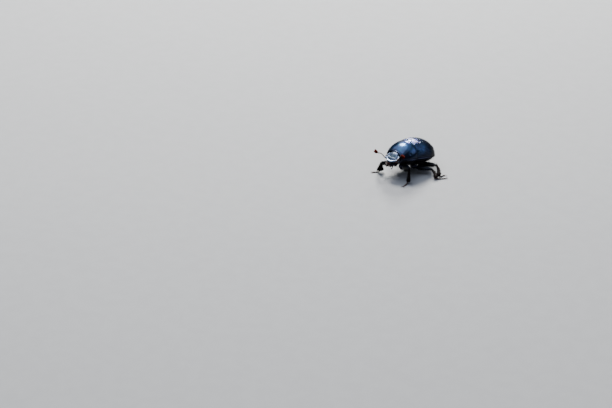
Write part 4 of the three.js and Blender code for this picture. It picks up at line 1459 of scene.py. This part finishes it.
class BEETLE_PG_colours(PropertyGroup):
    plate_shade: FloatVectorProperty(
        name="Plate shade", description="Darkest tone of the upper plates",
        default=linear("#0f1b2e"), min=0, max=1, size=4, subtype="COLOR")
    plate_blue: FloatVectorProperty(
        name="Plate blue", description="Bright tone of the upper plates",
        default=linear("#1b314c"), min=0, max=1, size=4, subtype="COLOR")
    plate_teal: FloatVectorProperty(
        name="Plate teal", description="Greener patches of the upper plates",
        default=linear("#12313c"), min=0, max=1, size=4, subtype="COLOR")
    club_shade: FloatVectorProperty(
        name="Club shade", description="Darker tone of the antennae's felted clubs",
        default=linear("#280501"), min=0, max=1, size=4, subtype="COLOR")
    club_rust: FloatVectorProperty(
        name="Club rust", description="Bright tone of the antennae's felted clubs",
        default=linear("#420a01"), min=0, max=1, size=4, subtype="COLOR")


class BEETLE_PG_bristles(PropertyGroup):
    length: FloatProperty(
        name="Length", description="Length of the longest bristles",
        default=0.00095, min=0, unit="LENGTH", precision=6)
    radius: FloatProperty(
        name="Radius", description="Half the thickness of a bristle at its root",
        default=0.000014, min=0.000001, unit="LENGTH", precision=6)
    density: FloatProperty(
        name="Density", description="Share of the usual number of bristles", default=1.0, min=0.1)


class BEETLE_PG_stage(PropertyGroup):
    brightness: FloatProperty(
        name="Brightness", description="Strength of all the soft boxes", default=1.0, min=0)
    room_light: FloatProperty(
        name="Room light", description="Strength of the even light all round", default=0.25, min=0)


class BEETLE_OT_stage(Operator):
    """Adds the camera, the soft lights and the pale floor"""
    bl_idname = "beetle.stage"
    bl_label = "Stage"

    def execute(self, context):
        build_stage(context.scene.beetle_stage)
        return {"FINISHED"}


class BEETLE_OT_pronotum(Operator):
    """Builds the plate over the front of the chest"""
    bl_idname = "beetle.pronotum"
    bl_label = "Pronotum"

    def execute(self, context):
        build_pronotum(context.scene.beetle_plates)
        return {"FINISHED"}


class BEETLE_OT_wing_cases(Operator):
    """Builds the two furrowed wing cases and the scutellum between them"""
    bl_idname = "beetle.wing_cases"
    bl_label = "Wing cases"

    def execute(self, context):
        build_wing_cases(context.scene.beetle_plates)
        return {"FINISHED"}


class BEETLE_OT_underside(Operator):
    """Builds the plates of the chest and belly"""
    bl_idname = "beetle.underside"
    bl_label = "Underside"

    def execute(self, context):
        build_underside()
        return {"FINISHED"}


class BEETLE_OT_head(Operator):
    """Builds the head capsule with its cheek bars, the chin and the eyes"""
    bl_idname = "beetle.head"
    bl_label = "Head and eyes"

    def execute(self, context):
        build_head(context.scene.beetle_plates)
        build_eyes()
        return {"FINISHED"}


class BEETLE_OT_mouthparts(Operator):
    """Builds the lip, the jaws and the palps"""
    bl_idname = "beetle.mouthparts"
    bl_label = "Mouthparts"

    def execute(self, context):
        build_mouthparts()
        return {"FINISHED"}


class BEETLE_OT_antennae(Operator):
    """Builds the jointed stalks and the felted clubs"""
    bl_idname = "beetle.antennae"
    bl_label = "Antennae"

    def execute(self, context):
        build_antennae()
        return {"FINISHED"}


class BEETLE_OT_legs(Operator):
    """Builds the six legs, from hip to claws"""
    bl_idname = "beetle.legs"
    bl_label = "Legs"

    def execute(self, context):
        build_legs()
        return {"FINISHED"}


class BEETLE_OT_bristles(Operator):
    """Grows the bristles of the legs, underside, margins and head"""
    bl_idname = "beetle.bristles"
    bl_label = "Bristles"

    def execute(self, context):
        settings, plates = context.scene.beetle_bristles, context.scene.beetle_plates
        build_leg_bristles(settings)
        build_belly_bristles(settings)
        build_margin_bristles(settings, plates)
        build_head_bristles(settings, plates)
        return {"FINISHED"}


class BEETLE_PT_panel(Panel):
    """Lists the steps that build the beetle, and their settings"""
    bl_idname = "BEETLE_PT_panel"
    bl_label = "Forest dor beetle"
    bl_space_type = "VIEW_3D"
    bl_region_type = "UI"
    bl_category = "Beetle"

    def draw(self, context):
        for step in STEPS:
            self.layout.operator(step.bl_idname)
        for group in GROUPS:
            settings = getattr(context.scene, group)
            column = self.layout.column(align=True)
            for name in settings.__annotations__:
                column.prop(settings, name)


STEPS = (
    BEETLE_OT_stage, BEETLE_OT_pronotum, BEETLE_OT_wing_cases, BEETLE_OT_underside, BEETLE_OT_head,
    BEETLE_OT_mouthparts, BEETLE_OT_antennae, BEETLE_OT_legs, BEETLE_OT_bristles,
)
GROUPS = {
    "beetle_plates": BEETLE_PG_plates,
    "beetle_colours": BEETLE_PG_colours,
    "beetle_bristles": BEETLE_PG_bristles,
    "beetle_stage": BEETLE_PG_stage,
}


def register():
    for made in (*GROUPS.values(), *STEPS, BEETLE_PT_panel):
        bpy.utils.register_class(made)
    for name, group in GROUPS.items():
        setattr(bpy.types.Scene, name, PointerProperty(type=group))


def unregister():
    for name in GROUPS:
        delattr(bpy.types.Scene, name)
    for made in (BEETLE_PT_panel, *reversed(STEPS), *GROUPS.values()):
        bpy.utils.unregister_class(made)


def main():
    register()
    bpy.ops.beetle.stage()
    bpy.ops.beetle.pronotum()
    bpy.ops.beetle.wing_cases()
    bpy.ops.beetle.underside()
    bpy.ops.beetle.head()
    bpy.ops.beetle.mouthparts()
    bpy.ops.beetle.antennae()
    bpy.ops.beetle.legs()
    bpy.ops.beetle.bristles()


if __name__ == "__main__":
    main()
